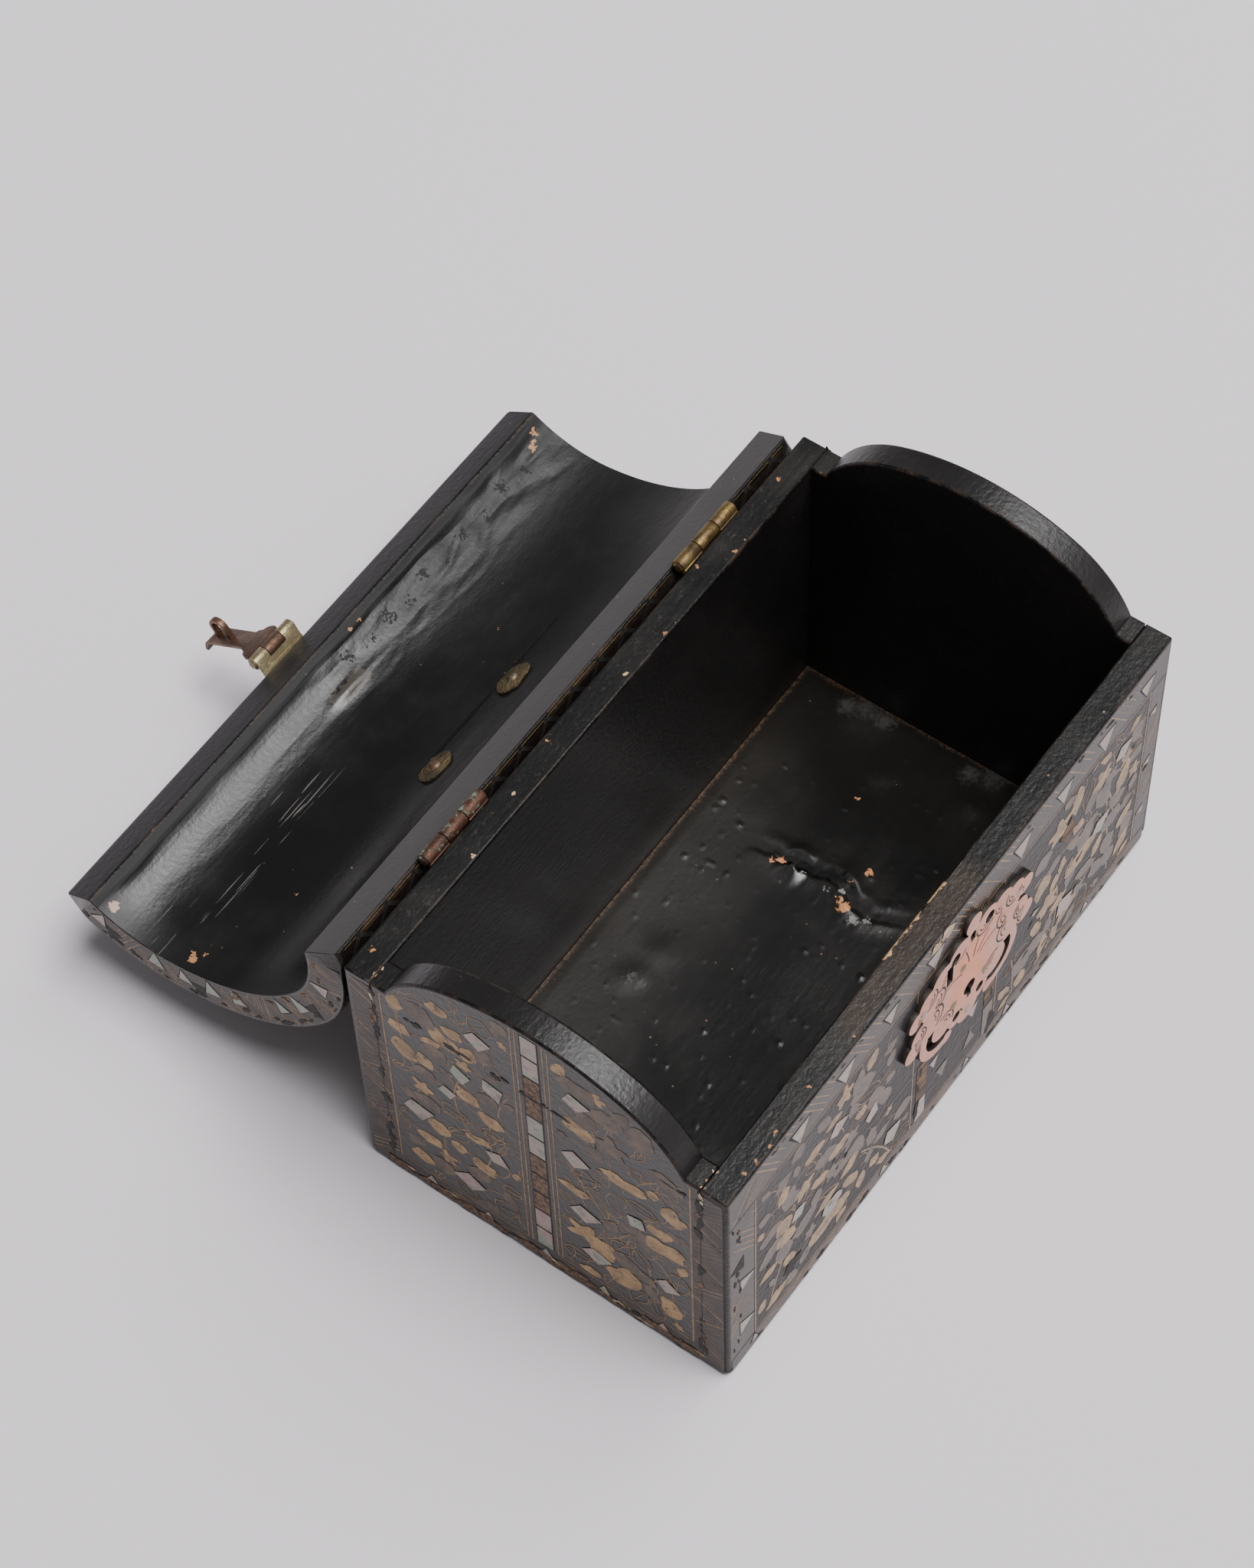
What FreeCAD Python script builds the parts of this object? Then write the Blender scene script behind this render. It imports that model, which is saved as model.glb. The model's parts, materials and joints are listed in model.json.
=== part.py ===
import FreeCAD, Part
import math
import os
from FreeCAD import Vector

# A small lacquered coffer with a barrel-vaulted lid, shown open.
# Millimetres; the origin is the middle of the underside, the front faces -Y and +Z is up.

# Body of nailed boards
LENGTH = 226.0
DEPTH = 130.0
RIM_HEIGHT = 108.0
BOARD = 9.0               # front and back boards
END_BOARD = 9.2
BOTTOM_BOARD = 4.2
CORNER_ROUND = 2.5        # worn upright corners
FOOT_CHAMFER = 1.5        # worn lower edges

# Arch shared by the end boards and the lid: one crown arc between two tighter haunch arcs
SHOULDER = 5.0            # flat step between the arch and the front or back board
ARCH_RISE = 27.0
JOIN_ANGLE = 23.6         # from the vertical, where the crown arc passes into a haunch arc
SPRING_ANGLE = 65.7       # where a haunch arc meets the rim
ARCH_EASE = 0.8           # worn edge of the arch

# Whittled square pegs
PEG_SIDE = 2.8
PEG_FIT = 0.05
CORNER_PEG_LENGTH = 24.0
BOTTOM_PEG_LENGTH = 22.0
CORNER_PEG_EDGE = 13.0    # from the rim, and from the bottom board, to the nearest peg
CORNER_PEG_ROWS = 3
BOTTOM_PEG_COLUMNS = 4
BOTTOM_PEG_EDGE = 22.0    # from an end of the board to the first peg

# Lid of glued staves
LID_SET_BACK = 1.0        # end of the lid inside the end of the body
LID_THICK = 13.0
LID_GAP = 1.0             # between the end boards' arch and the inside of the lid
SEAT_GAP = 0.2            # between the rims when the lid is shut
LID_END_EASE = 1.0        # worn edge round each end of the lid
RAIL_ANGLE = 55.0         # joint between a rail and its shoulder stave, from the vertical
RIDGE_ANGLE = 8.0         # half the angle of the ridge stave
LID_OPEN_ANGLE = 212.0    # from shut to lying open behind the back

# Hinges on the back
HINGE_CENTRE = 3.0        # the pair sits a little to the right
HINGE_INSET = 51.0        # from an end of the body to the middle of a hinge
HINGE_WIDTH = 27.0
LEAF = 1.0
LEAF_DROP = 25.0          # wall leaf below the axis
LEAF_RISE = 22.0          # lid leaf above the rim
LEAF_CHAMFER = 3.0
BARREL_RADIUS = 2.3
BARREL_FLAT_COUNT = 12
BARREL_GAP = 0.3          # between a barrel and the wood or plate beside it
KNUCKLE_GAP = 0.3
PIN_RADIUS = 1.2
PIN_FIT = 0.05
PIN_HEAD = 0.7
PIN_HEAD_RADIUS = 1.9
PIN_HEAD_FLAT_COUNT = 8

# Square nails with hammered heads
NAIL_SIDE = 1.1
NAIL_LENGTH = 8.0
NAIL_HEAD_RADIUS = 1.6
NAIL_HEAD_TOP = 0.9
NAIL_HEAD = 0.45
NAIL_FIT = 0.05
NAIL_FACETS = 8

# Hasp on the front of the lid
HASP_X = -5.0
HASP_DROP = 3.5           # axis below the rim
HASP_BARREL = 18.6
HASP_PLATE_RISE = 13.0
HASP_MIDDLE = 7.0         # length of the strap's knuckle
STRAP_WIDTH = 7.0
STRAP_THICK = 1.2
STRAP_LENGTH = 29.0       # axis to the bend of the finger tip
TIP_BEND_RADIUS = 3.0
TIP_ANGLE = 55.0
TIP_LENGTH = 2.5
SHOULDER_LOBE = 3.4
SHOULDER_LOBE_SPREAD = 3.9
NECK_LOBE = 2.1
NECK_LOBE_SPREAD = 2.8
HASP_SWING_ANGLE = 90.0

# Staple on the strap
STAPLE_REACH = 23.5       # hasp axis to the middle of the staple
STAPLE_WIDTH = 7.0
STAPLE_HEIGHT = 7.5
STAPLE_THICK = 2.0
STAPLE_LEG = 1.3

# Lock in the front board
PLATE_X = 6.5
PLATE_DROP = 40.0         # rim to the middle of the plate
PLATE = 1.6
LOBE_STROKE_COUNT = 24    # straight chisel strokes round a lobe
CASE_DEPTH = 7.0
CASE_WALL = 0.8
CASE_FIT = 0.15
CASE_LEFT = 5.0           # case edge to the middle of the staple
CASE_END_ROOM = 1.7       # drawn bolt to the case's right wall
CASE_TOP = 7.0            # bolt to the top of the case
CASE_BELOW_KEY = 5.0
LUG_SIDE = 3.4            # post that a rivet of the plate goes into
RIVET_LENGTH = 6.0
SLOT_SIDE = 0.6           # room beside the staple
SLOT_ABOVE = 0.6
SLOT_BELOW = 2.2          # the staple dips as it swings out
BOLT_HEIGHT = 3.2
BOLT_THICK = 2.4
BOLT_LENGTH = 19.5
BOLT_START = 2.0          # staple to the tip of the drawn bolt
BOLT_FIT = 0.15
TAIL_WIDTH = 4.0
TAIL_THICK = 1.6
TAIL_DROP = 18.0
TALON = 1.8               # notch that the key turns in
GUIDE_LENGTH = 3.0
GUIDE_WALL = 1.35
GUIDE_FROM_STAPLE = 7.0
SPRING_THICK = 0.5
SPRING_WIDTH = 3.0
SPRING_SPAN = 10.0
SPRING_FROM_STAPLE = 16.0
KEY_X = 6.7
KEY_DROP = 23.0           # bolt to the keyhole
KEYHOLE_RADIUS = 2.9
KEYHOLE_SLOT = 2.2
KEYHOLE_TAIL = 5.4
KEY_POST_RADIUS = 0.9
KEY_POST_FLAT_COUNT = 8

# Bail handle on the ridge of the lid
HANDLE_X = 3.0
HANDLE_SPACING = 39.3
BAIL_RADIUS = 1.4
BAIL_DROP = 24.0
BAIL_OVERHANG = 3.6       # bail side beyond its eye
BAIL_BEND = 2.4
BAIL_CORNER = 12.0
BEND_STEP_COUNT = 6       # hammered flats along a bend
EYE_RING = 1.3
EYE_THICK = 2.2
EYE_FIT = 0.1
BAIL_FLAT_COUNT = 6
POST_SIDE = 2.2           # square shank
POST_FIT = 0.05
POST_RIVET = 1.9
POST_RIVET_FLAT_COUNT = 8
ROSETTE = 1.0
ROSETTE_RADIUS = 4.2
ROSETTE_PETALS = 6
PETAL_RADIUS = 2.3
CLENCH_LENGTH = 14.0
CLENCH_WIDTH = 9.0
CLENCH_THICK = 0.8
CLENCH_FIT = 0.05

# Places that follow from the sizes above
FRONT = -DEPTH / 2
BACK = DEPTH / 2
INNER_HALF = DEPTH / 2 - BOARD
ARCH_HALF = INNER_HALF - SHOULDER
LID_RIM = RIM_HEIGHT + SEAT_GAP
LID_LENGTH = LENGTH - 2 * LID_SET_BACK
LID_OUTSIDE = LID_GAP + LID_THICK
AXIS_OFFSET = BARREL_RADIUS + BARREL_GAP
HINGE_Y = BACK + AXIS_OFFSET
HINGE_Z = RIM_HEIGHT + SEAT_GAP / 2
HASP_Y = FRONT - AXIS_OFFSET
HASP_Z = RIM_HEIGHT - HASP_DROP
BOLT_Z = HASP_Z - STAPLE_REACH
KEY_Z = BOLT_Z - KEY_DROP
PLATE_Z = RIM_HEIGHT - PLATE_DROP
STAPLE_Y = HASP_Y + STRAP_THICK / 2 + STAPLE_HEIGHT
BOLT_Y = STAPLE_Y - STAPLE_WIDTH / 2
CASE_X0 = HASP_X - CASE_LEFT
CASE_X1 = HASP_X + BOLT_START + BOLT_LENGTH + CASE_END_ROOM + CASE_WALL
CASE_Z0 = KEY_Z - CASE_BELOW_KEY
CASE_Z1 = BOLT_Z + CASE_TOP
CASE_BACK = FRONT + CASE_DEPTH
CASE_FLOOR = CASE_BACK - CASE_WALL

# The two radii that give the arch its half width and its rise: each arc covers a run and a fall
# of so many radii between its angles
JOIN = math.radians(JOIN_ANGLE)
SPRING = math.radians(SPRING_ANGLE)
CROWN_RUN = math.sin(JOIN)
CROWN_FALL = 1 - math.cos(JOIN)
HAUNCH_RUN = math.sin(SPRING) - math.sin(JOIN)
HAUNCH_FALL = math.cos(JOIN) - math.cos(SPRING)
BOTH = CROWN_RUN * HAUNCH_FALL - HAUNCH_RUN * CROWN_FALL
CROWN_RADIUS = (ARCH_HALF * HAUNCH_FALL - ARCH_RISE * HAUNCH_RUN) / BOTH
HAUNCH_RADIUS = (ARCH_RISE * CROWN_RUN - ARCH_HALF * CROWN_FALL) / BOTH
CROWN_Z = RIM_HEIGHT + ARCH_RISE - CROWN_RADIUS
HAUNCH_Y = ARCH_HALF - HAUNCH_RADIUS * math.sin(SPRING)
HAUNCH_Z = RIM_HEIGHT - HAUNCH_RADIUS * math.cos(SPRING)

CROWN_OUTSIDE = RIM_HEIGHT + ARCH_RISE + LID_OUTSIDE
CLENCH_TOP = CROWN_Z + math.sqrt((CROWN_RADIUS + LID_GAP) ** 2 - (CLENCH_WIDTH / 2) ** 2) - CLENCH_FIT
CLENCH_UNDER = CLENCH_TOP - CLENCH_THICK
EYE_HOLE = BAIL_RADIUS + EYE_FIT
EYE_Z = CROWN_OUTSIDE + ROSETTE + EYE_HOLE + EYE_RING
X_AXIS = Vector(1, 0, 0)
Y_AXIS = Vector(0, 1, 0)
Z_AXIS = Vector(0, 0, 1)
FAR = LENGTH + DEPTH
NEAR = 0.01               # places closer than this count as one


def box(x0, x1, y0, y1, z0, z1):
    return Part.makeBox(x1 - x0, y1 - y0, z1 - z0, Vector(x0, y0, z0))


def rod(radius, length, start, direction):
    return Part.makeCylinder(radius, length, start, direction)


def flat(corners):
    return Part.Face(Part.makePolygon(corners + corners[:1]))


def tube(rings):
    """Solid with flat sides through a row of like rings of corners."""
    faces = [flat(rings[0][::-1]), flat(rings[-1])]
    for low, high in zip(rings, rings[1:]):
        for step in range(len(low)):
            faces.append(flat([low[step - 1], low[step], high[step], high[step - 1]]))
    return Part.makeSolid(Part.makeShell(faces))


def bar(sides, across, end_across, length, start, direction):
    """Bar of equal flats, from one distance across the flats to another."""
    rings = []
    for size, height in ((across, 0), (end_across, length)):
        radius = size / 2 / math.cos(math.pi / sides)
        angles = [(2 * step + 1) * math.pi / sides for step in range(sides)]
        rings.append([Vector(radius * math.cos(angle), radius * math.sin(angle), height) for angle in angles])
    solid = tube(rings)
    solid.Placement = FreeCAD.Placement(start, FreeCAD.Rotation(Z_AXIS, direction))
    return solid


def lobe(radius, thick, start, direction):
    """Round lobe of a sheet-metal plate."""
    return bar(LOBE_STROKE_COUNT, 2 * radius, 2 * radius, thick, start, direction)


def joined(first, *others):
    return first.fuse(list(others)).removeSplitter()


def turned(shape, y, z, degrees):
    """A copy turned about the X line through (y, z)."""
    copy = shape.copy()
    copy.rotate(Vector(0, y, z), X_AXIS, degrees)
    return copy


def lid_open(shape):
    """Carries a piece of the shut lid to the open lid."""
    return turned(shape, HINGE_Y, HINGE_Z, -LID_OPEN_ANGLE)


def on_circle(y, z, radius, angle):
    """Point of a circle across the coffer, the angle counted from the vertical towards +Y."""
    return Vector(0, y + radius * math.sin(angle), z + radius * math.cos(angle))


def arc(y, z, radius, start, end):
    middle = (start + end) / 2
    points = [on_circle(y, z, radius, angle) for angle in (start, middle, end)]
    return Part.Arc(*points).toShape()


def arch_prism(offset, length):
    """Solid under the arch grown by an offset, centred on the length."""
    quarter = math.pi / 2
    crown = arc(0, CROWN_Z, CROWN_RADIUS + offset, -JOIN, JOIN)
    front = arc(-HAUNCH_Y, HAUNCH_Z, HAUNCH_RADIUS + offset, -quarter, -JOIN)
    back = arc(HAUNCH_Y, HAUNCH_Z, HAUNCH_RADIUS + offset, JOIN, quarter)
    reach = HAUNCH_Y + HAUNCH_RADIUS + offset
    base = Part.makeLine(Vector(0, reach, HAUNCH_Z), Vector(0, -reach, HAUNCH_Z))
    face = Part.Face(Part.Wire([front, crown, back, base]))
    face.translate(Vector(-length / 2, 0, 0))
    return face.extrude(Vector(length, 0, 0))


def arch_offset(y, z):
    """How far a point lies outside the arch."""
    from_crown = math.atan2(abs(y), z - CROWN_Z)
    if from_crown <= JOIN:
        return math.hypot(y, z - CROWN_Z) - CROWN_RADIUS
    return math.hypot(abs(y) - HAUNCH_Y, z - HAUNCH_Z) - HAUNCH_RADIUS


def lid_skin(proud, bottom):
    """Solid inside the lid's outer face grown by a thickness, cut off at a height."""
    half = DEPTH / 2 + proud
    limits = box(-LENGTH, LENGTH, -half, half, bottom, FAR)
    return arch_prism(LID_OUTSIDE + proud, LID_LENGTH).common(limits)


def nail(surface, inward, length):
    """A nail with its head seated on a surface, and the hole that it is driven into."""
    head = bar(NAIL_FACETS, 2 * NAIL_HEAD_RADIUS, 2 * NAIL_HEAD_TOP, NAIL_HEAD, surface, inward * -1)
    shank = bar(4, NAIL_SIDE, NAIL_SIDE, length, surface, inward)
    side = NAIL_SIDE + 2 * NAIL_FIT
    hole = bar(4, side, side, length + NAIL_FIT, surface, inward)
    return joined(head, shank), hole


def nails(places, length):
    """Nails and holes for a list of (surface point, inward direction)."""
    pairs = [nail(point, inward, length) for point, inward in places]
    return [solid for solid, hole in pairs], [hole for solid, hole in pairs]


def outer_edges(shape, x, test):
    """Edges in the plane of a given x whose middle passes a test on (y, z)."""
    found = []
    for edge in shape.Edges:
        middle = edge.valueAt((edge.FirstParameter + edge.LastParameter) / 2)
        flat = abs(edge.BoundBox.XMin - x) < NEAR and abs(edge.BoundBox.XMax - x) < NEAR
        if flat and test(middle.y, middle.z):
            found.append(edge)
    return found


# Body
def upright_edges(shape):
    """Vertical edges at the outer corners of a board or of the bottom."""
    found = []
    for edge in shape.Edges:
        limits = edge.BoundBox
        upright = limits.ZLength > BOTTOM_BOARD - NEAR and limits.XLength + limits.YLength < NEAR
        corner = abs(abs(limits.XMin) - LENGTH / 2) < NEAR and abs(abs(limits.YMin) - DEPTH / 2) < NEAR
        if upright and corner:
            found.append(edge)
    return found


def bottom_board():
    slab = box(-LENGTH / 2, LENGTH / 2, FRONT, BACK, 0, BOTTOM_BOARD)
    slab = slab.makeFillet(CORNER_ROUND, upright_edges(slab))
    lower = [edge for edge in slab.Edges if edge.BoundBox.ZMax < NEAR]
    return slab.makeChamfer(FOOT_CHAMFER, lower)


def long_board(side):
    """Front (-1) or back (+1) board, running the whole length."""
    y0, y1 = sorted((side * DEPTH / 2, side * INNER_HALF))
    board = box(-LENGTH / 2, LENGTH / 2, y0, y1, BOTTOM_BOARD, RIM_HEIGHT)
    return board.makeFillet(CORNER_ROUND, upright_edges(board))


def end_board(side):
    """End board between the long boards, its arched top standing above the rim."""
    x0, x1 = sorted((side * LENGTH / 2, side * (LENGTH / 2 - END_BOARD)))
    lower = box(x0, x1, -INNER_HALF, INNER_HALF, BOTTOM_BOARD, RIM_HEIGHT)
    above = box(x0, x1, -INNER_HALF, INNER_HALF, RIM_HEIGHT, FAR)
    board = joined(lower, arch_prism(0, LENGTH).common(above))
    worn = []
    for x in (x0, x1):
        worn += outer_edges(board, x, lambda y, z: z > RIM_HEIGHT + ARCH_EASE)
    return board.makeChamfer(ARCH_EASE, worn)


def spread(start, end, count):
    return [start + (end - start) * step / (count - 1) for step in range(count)]


def corner_pegs(side_length, length):
    pegs = []
    x = LENGTH / 2 - END_BOARD / 2
    heights = spread(BOTTOM_BOARD + CORNER_PEG_EDGE, RIM_HEIGHT - CORNER_PEG_EDGE, CORNER_PEG_ROWS)
    for side in (-1, 1):
        for end in (-1, 1):
            for z in heights:
                start = Vector(end * x, side * DEPTH / 2, z)
                pegs.append(bar(4, side_length, side_length, length, start, Y_AXIS * -side))
    return pegs


def bottom_pegs(side_length, length):
    pegs = []
    edge = LENGTH / 2 - BOTTOM_PEG_EDGE
    for side in (-1, 1):
        for x in spread(-edge, edge, BOTTOM_PEG_COLUMNS):
            place = Vector(x, side * (DEPTH / 2 - BOARD / 2), 0)
            pegs.append(bar(4, side_length, side_length, length, place, Z_AXIS))
    for end in (-1, 1):
        for side in (-1, 1):
            place = Vector(end * (LENGTH / 2 - END_BOARD / 2), side * INNER_HALF / 2, 0)
            pegs.append(bar(4, side_length, side_length, length, place, Z_AXIS))
    return pegs


# Hinges
KNUCKLE = (HINGE_WIDTH - 2 * KNUCKLE_GAP) / 3


def barrel(y, z, x, start, end, radius):
    """Length of a hammered barrel along X, from start to end about the middle x."""
    return bar(BARREL_FLAT_COUNT, 2 * radius, 2 * radius, end - start, Vector(x + start, y, z), X_AXIS)


def pin_bore(y, z, x, half):
    return rod(PIN_RADIUS + PIN_FIT, 2 * half, Vector(x - half, y, z), X_AXIS)


def wall_leaf(x):
    """Leaf on the back board with the two outer knuckles."""
    half = HINGE_WIDTH / 2
    foot = HINGE_Z - LEAF_DROP
    outline = [(-half, HINGE_Z), (-half, foot + LEAF_CHAMFER), (-half + LEAF_CHAMFER, foot),
               (half - LEAF_CHAMFER, foot), (half, foot + LEAF_CHAMFER), (half, HINGE_Z)]
    plate = flat([Vector(x + u, BACK, z) for u, z in outline]).extrude(Vector(0, LEAF, 0))
    left = barrel(HINGE_Y, HINGE_Z, x, -half, -half + KNUCKLE, BARREL_RADIUS)
    right = barrel(HINGE_Y, HINGE_Z, x, half - KNUCKLE, half, BARREL_RADIUS)
    middle = KNUCKLE / 2 + KNUCKLE_GAP
    room = barrel(HINGE_Y, HINGE_Z, x, -middle, middle, BARREL_RADIUS + BARREL_GAP)
    return joined(plate, left, right).cut(room).cut(pin_bore(HINGE_Y, HINGE_Z, x, half))


def lid_leaf(x):
    """Leaf bent over the back of the lid, with the middle knuckle."""
    half = HINGE_WIDTH / 2
    middle = KNUCKLE / 2
    strip = box(x - half, x + half, 0, FAR, LID_RIM, LID_RIM + LEAF_RISE)
    plate = lid_skin(LEAF, LID_RIM).cut(lid_skin(0, LID_RIM)).common(strip)
    knuckle = barrel(HINGE_Y, HINGE_Z, x, -middle, middle, BARREL_RADIUS)
    leaf = joined(plate, knuckle)
    for start, end in ((-half, -middle), (middle, half)):
        leaf = leaf.cut(barrel(HINGE_Y, HINGE_Z, x, start, end, BARREL_RADIUS + BARREL_GAP))
    return leaf.cut(pin_bore(HINGE_Y, HINGE_Z, x, half))


def headed_pin(y, z, x, length):
    """Hinge pin with both ends peened over the barrel."""
    half = length / 2
    pin = rod(PIN_RADIUS, length, Vector(x - half, y, z), X_AXIS)
    heads = []
    for side in (-1, 1):
        seat = Vector(x + side * half, y, z)
        heads.append(bar(PIN_HEAD_FLAT_COUNT, 2 * PIN_HEAD_RADIUS, 2 * PIN_RADIUS, PIN_HEAD, seat, X_AXIS * side))
    return joined(pin, *heads)


def wall_nail_places(x):
    """One nail under the middle knuckle and two near the foot of the leaf."""
    top = HINGE_Z - LEAF_DROP / 3
    foot = HINGE_Z - LEAF_DROP + LEAF_CHAMFER + NAIL_HEAD_RADIUS
    side = HINGE_WIDTH / 2 - LEAF_CHAMFER - NAIL_HEAD_RADIUS
    return [(Vector(x + u, BACK + LEAF, z), Y_AXIS * -1) for u, z in ((0, top), (-side, foot), (side, foot))]


def on_lid(x, rise, side):
    """Point and inward direction on a plate over the lid's haunch, at a height above the rim."""
    radius = HAUNCH_RADIUS + LID_OUTSIDE + LEAF
    angle = math.acos((LID_RIM + rise - HAUNCH_Z) / radius)
    point = on_circle(HAUNCH_Y, HAUNCH_Z, radius, angle)
    return Vector(x, side * point.y, point.z), Vector(0, -side * math.sin(angle), -math.cos(angle))


def lid_nail_places(x):
    """Two nails near the rim and one higher up, clear of those in the wall leaf."""
    side = HINGE_WIDTH / 2 - LEAF_CHAMFER - NAIL_HEAD_RADIUS
    low = LEAF_RISE / 3
    high = LEAF_RISE - LEAF_CHAMFER - NAIL_HEAD_RADIUS
    return [on_lid(x - side, low, 1), on_lid(x + side, low, 1), on_lid(x, high, 1)]


# Lid
def lid_shell():
    outside = lid_skin(0, LID_RIM)
    shell = outside.cut(arch_prism(LID_GAP, LENGTH))

    def proud(y, z):
        return z > LID_RIM + NEAR and arch_offset(y, z) > LID_GAP + LID_THICK / 2

    ends = outer_edges(shell, -LID_LENGTH / 2, proud) + outer_edges(shell, LID_LENGTH / 2, proud)
    return shell.makeChamfer(LID_END_EASE, ends)


def wedge(y, z, start, end):
    """Prism between two planes through an X line, angles from the vertical."""
    middle = (start + end) / 2
    rim = [on_circle(y, z, FAR, angle) for angle in (start, middle, end)]
    face = flat([Vector(0, y, z)] + rim)
    face.translate(Vector(-LENGTH, 0, 0))
    return face.extrude(Vector(2 * LENGTH, 0, 0))


def lid_staves(holes):
    """Seven boards of the vault with joints along the arch's own radii."""
    rail = math.radians(RAIL_ANGLE)
    ridge = math.radians(RIDGE_ANGLE)
    under = rail + math.pi / 2
    pieces = {
        "lid_front_rail": (-HAUNCH_Y, HAUNCH_Z, -under, -rail),
        "lid_front_shoulder_stave": (-HAUNCH_Y, HAUNCH_Z, -rail, -JOIN),
        "lid_front_crown_stave": (0, CROWN_Z, -JOIN, -ridge),
        "lid_ridge_stave": (0, CROWN_Z, -ridge, ridge),
        "lid_back_crown_stave": (0, CROWN_Z, ridge, JOIN),
        "lid_back_shoulder_stave": (HAUNCH_Y, HAUNCH_Z, JOIN, rail),
        "lid_back_rail": (HAUNCH_Y, HAUNCH_Z, rail, under),
    }
    shell = lid_shell()
    return {name: shell.common(wedge(*span)).cut(holes) for name, span in pieces.items()}


# Hasp, drawn hanging shut
HASP_OUTER = (HASP_BARREL - HASP_MIDDLE) / 2 - KNUCKLE_GAP


def hasp_lid_plate():
    half = HASP_BARREL / 2
    strip = box(HASP_X - half, HASP_X + half, -FAR, 0, HASP_Z, LID_RIM + HASP_PLATE_RISE)
    plate = lid_skin(LEAF, HASP_Z).cut(lid_skin(0, HASP_Z)).common(strip)
    wall_room = box(-LENGTH, LENGTH, FRONT - BARREL_GAP, 0, 0, LID_RIM)
    left = barrel(HASP_Y, HASP_Z, HASP_X, -half, -half + HASP_OUTER, BARREL_RADIUS)
    right = barrel(HASP_Y, HASP_Z, HASP_X, half - HASP_OUTER, half, BARREL_RADIUS)
    middle = HASP_MIDDLE / 2 + KNUCKLE_GAP
    room = barrel(HASP_Y, HASP_Z, HASP_X, -middle, middle, BARREL_RADIUS + BARREL_GAP)
    return joined(plate.cut(wall_room), left, right).cut(room).cut(pin_bore(HASP_Y, HASP_Z, HASP_X, half))


def hasp_nail_places():
    side = HASP_BARREL / 2 - 2 * NAIL_HEAD_RADIUS
    rise = HASP_PLATE_RISE / 2
    return [on_lid(HASP_X - side, rise, -1), on_lid(HASP_X + side, rise, -1)]


def strap_section():
    """Side of the strap: straight down from the axis, then the finger tip bent outwards."""
    half = STRAP_THICK / 2
    turn = math.radians(TIP_ANGLE)
    z = HASP_Z - STRAP_LENGTH
    y = HASP_Y - TIP_BEND_RADIUS
    quarter = math.pi / 2

    def bend(radius):
        return arc(y, z, radius, quarter, quarter + turn)

    inner = bend(TIP_BEND_RADIUS - half)
    outer = bend(TIP_BEND_RADIUS + half)
    along = Vector(0, -math.sin(turn), -math.cos(turn)) * TIP_LENGTH
    inner_end = on_circle(y, z, TIP_BEND_RADIUS - half, quarter + turn)
    outer_end = on_circle(y, z, TIP_BEND_RADIUS + half, quarter + turn)
    top_in = Vector(0, HASP_Y - half, HASP_Z)
    top_out = Vector(0, HASP_Y + half, HASP_Z)
    edges = [
        Part.makeLine(top_in, Vector(0, HASP_Y - half, z)),
        inner,
        Part.makeLine(inner_end, inner_end + along),
        Part.makeLine(inner_end + along, outer_end + along),
        Part.makeLine(outer_end + along, outer_end),
        outer,
        Part.makeLine(Vector(0, HASP_Y + half, z), top_out),
        Part.makeLine(top_out, top_in),
    ]
    return Part.Face(Part.Wire(Part.__sortEdges__(edges)))


def staple_legs():
    """Feet of the staple that are riveted through the strap."""
    half = STAPLE_THICK / 2
    depth = STAPLE_LEG / 2
    y0 = HASP_Y - STRAP_THICK / 2
    feet = []
    for side in (-1, 1):
        z = BOLT_Z + side * (STAPLE_WIDTH - STAPLE_LEG) / 2
        feet.append(box(HASP_X - half, HASP_X + half, y0, y0 + STRAP_THICK, z - depth, z + depth))
    return feet


def hasp_strap():
    section = strap_section()
    section.translate(Vector(HASP_X - STRAP_WIDTH / 2, 0, 0))
    strip = section.extrude(Vector(STRAP_WIDTH, 0, 0))
    knuckle = barrel(HASP_Y, HASP_Z, HASP_X, -HASP_MIDDLE / 2, HASP_MIDDLE / 2, BARREL_RADIUS)
    below = BARREL_RADIUS + BARREL_GAP + SHOULDER_LOBE
    lobes = []
    for side in (-1, 1):
        for spread_out, drop, radius in ((SHOULDER_LOBE_SPREAD, below, SHOULDER_LOBE),
                                         (NECK_LOBE_SPREAD, below + SHOULDER_LOBE, NECK_LOBE)):
            start = Vector(HASP_X + side * spread_out, HASP_Y + STRAP_THICK / 2, HASP_Z - drop)
            lobes.append(rod(radius, STRAP_THICK, start, Y_AXIS * -1))
    strap = joined(strip, knuckle, *lobes)
    return strap.cut([pin_bore(HASP_Y, HASP_Z, HASP_X, HASP_MIDDLE)] + staple_legs())


def hasp_staple():
    """Flat loop that stands on the strap and takes the bolt."""
    half = STAPLE_THICK / 2
    y0 = HASP_Y + STRAP_THICK / 2
    x0 = HASP_X - half

    def loop(width, start, end):
        body = box(x0, x0 + STAPLE_THICK, start, end - width / 2, BOLT_Z - width / 2, BOLT_Z + width / 2)
        nose = rod(width / 2, STAPLE_THICK, Vector(x0, end - width / 2, BOLT_Z), X_AXIS)
        return joined(body, nose)

    outside = loop(STAPLE_WIDTH, y0, STAPLE_Y)
    eye = loop(STAPLE_WIDTH - 2 * STAPLE_LEG, y0, STAPLE_Y - STAPLE_LEG)
    return joined(outside.cut(eye), *staple_legs())


def hasp_rest(shape):
    return lid_open(turned(shape, HASP_Y, HASP_Z, -HASP_SWING_ANGLE))


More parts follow.
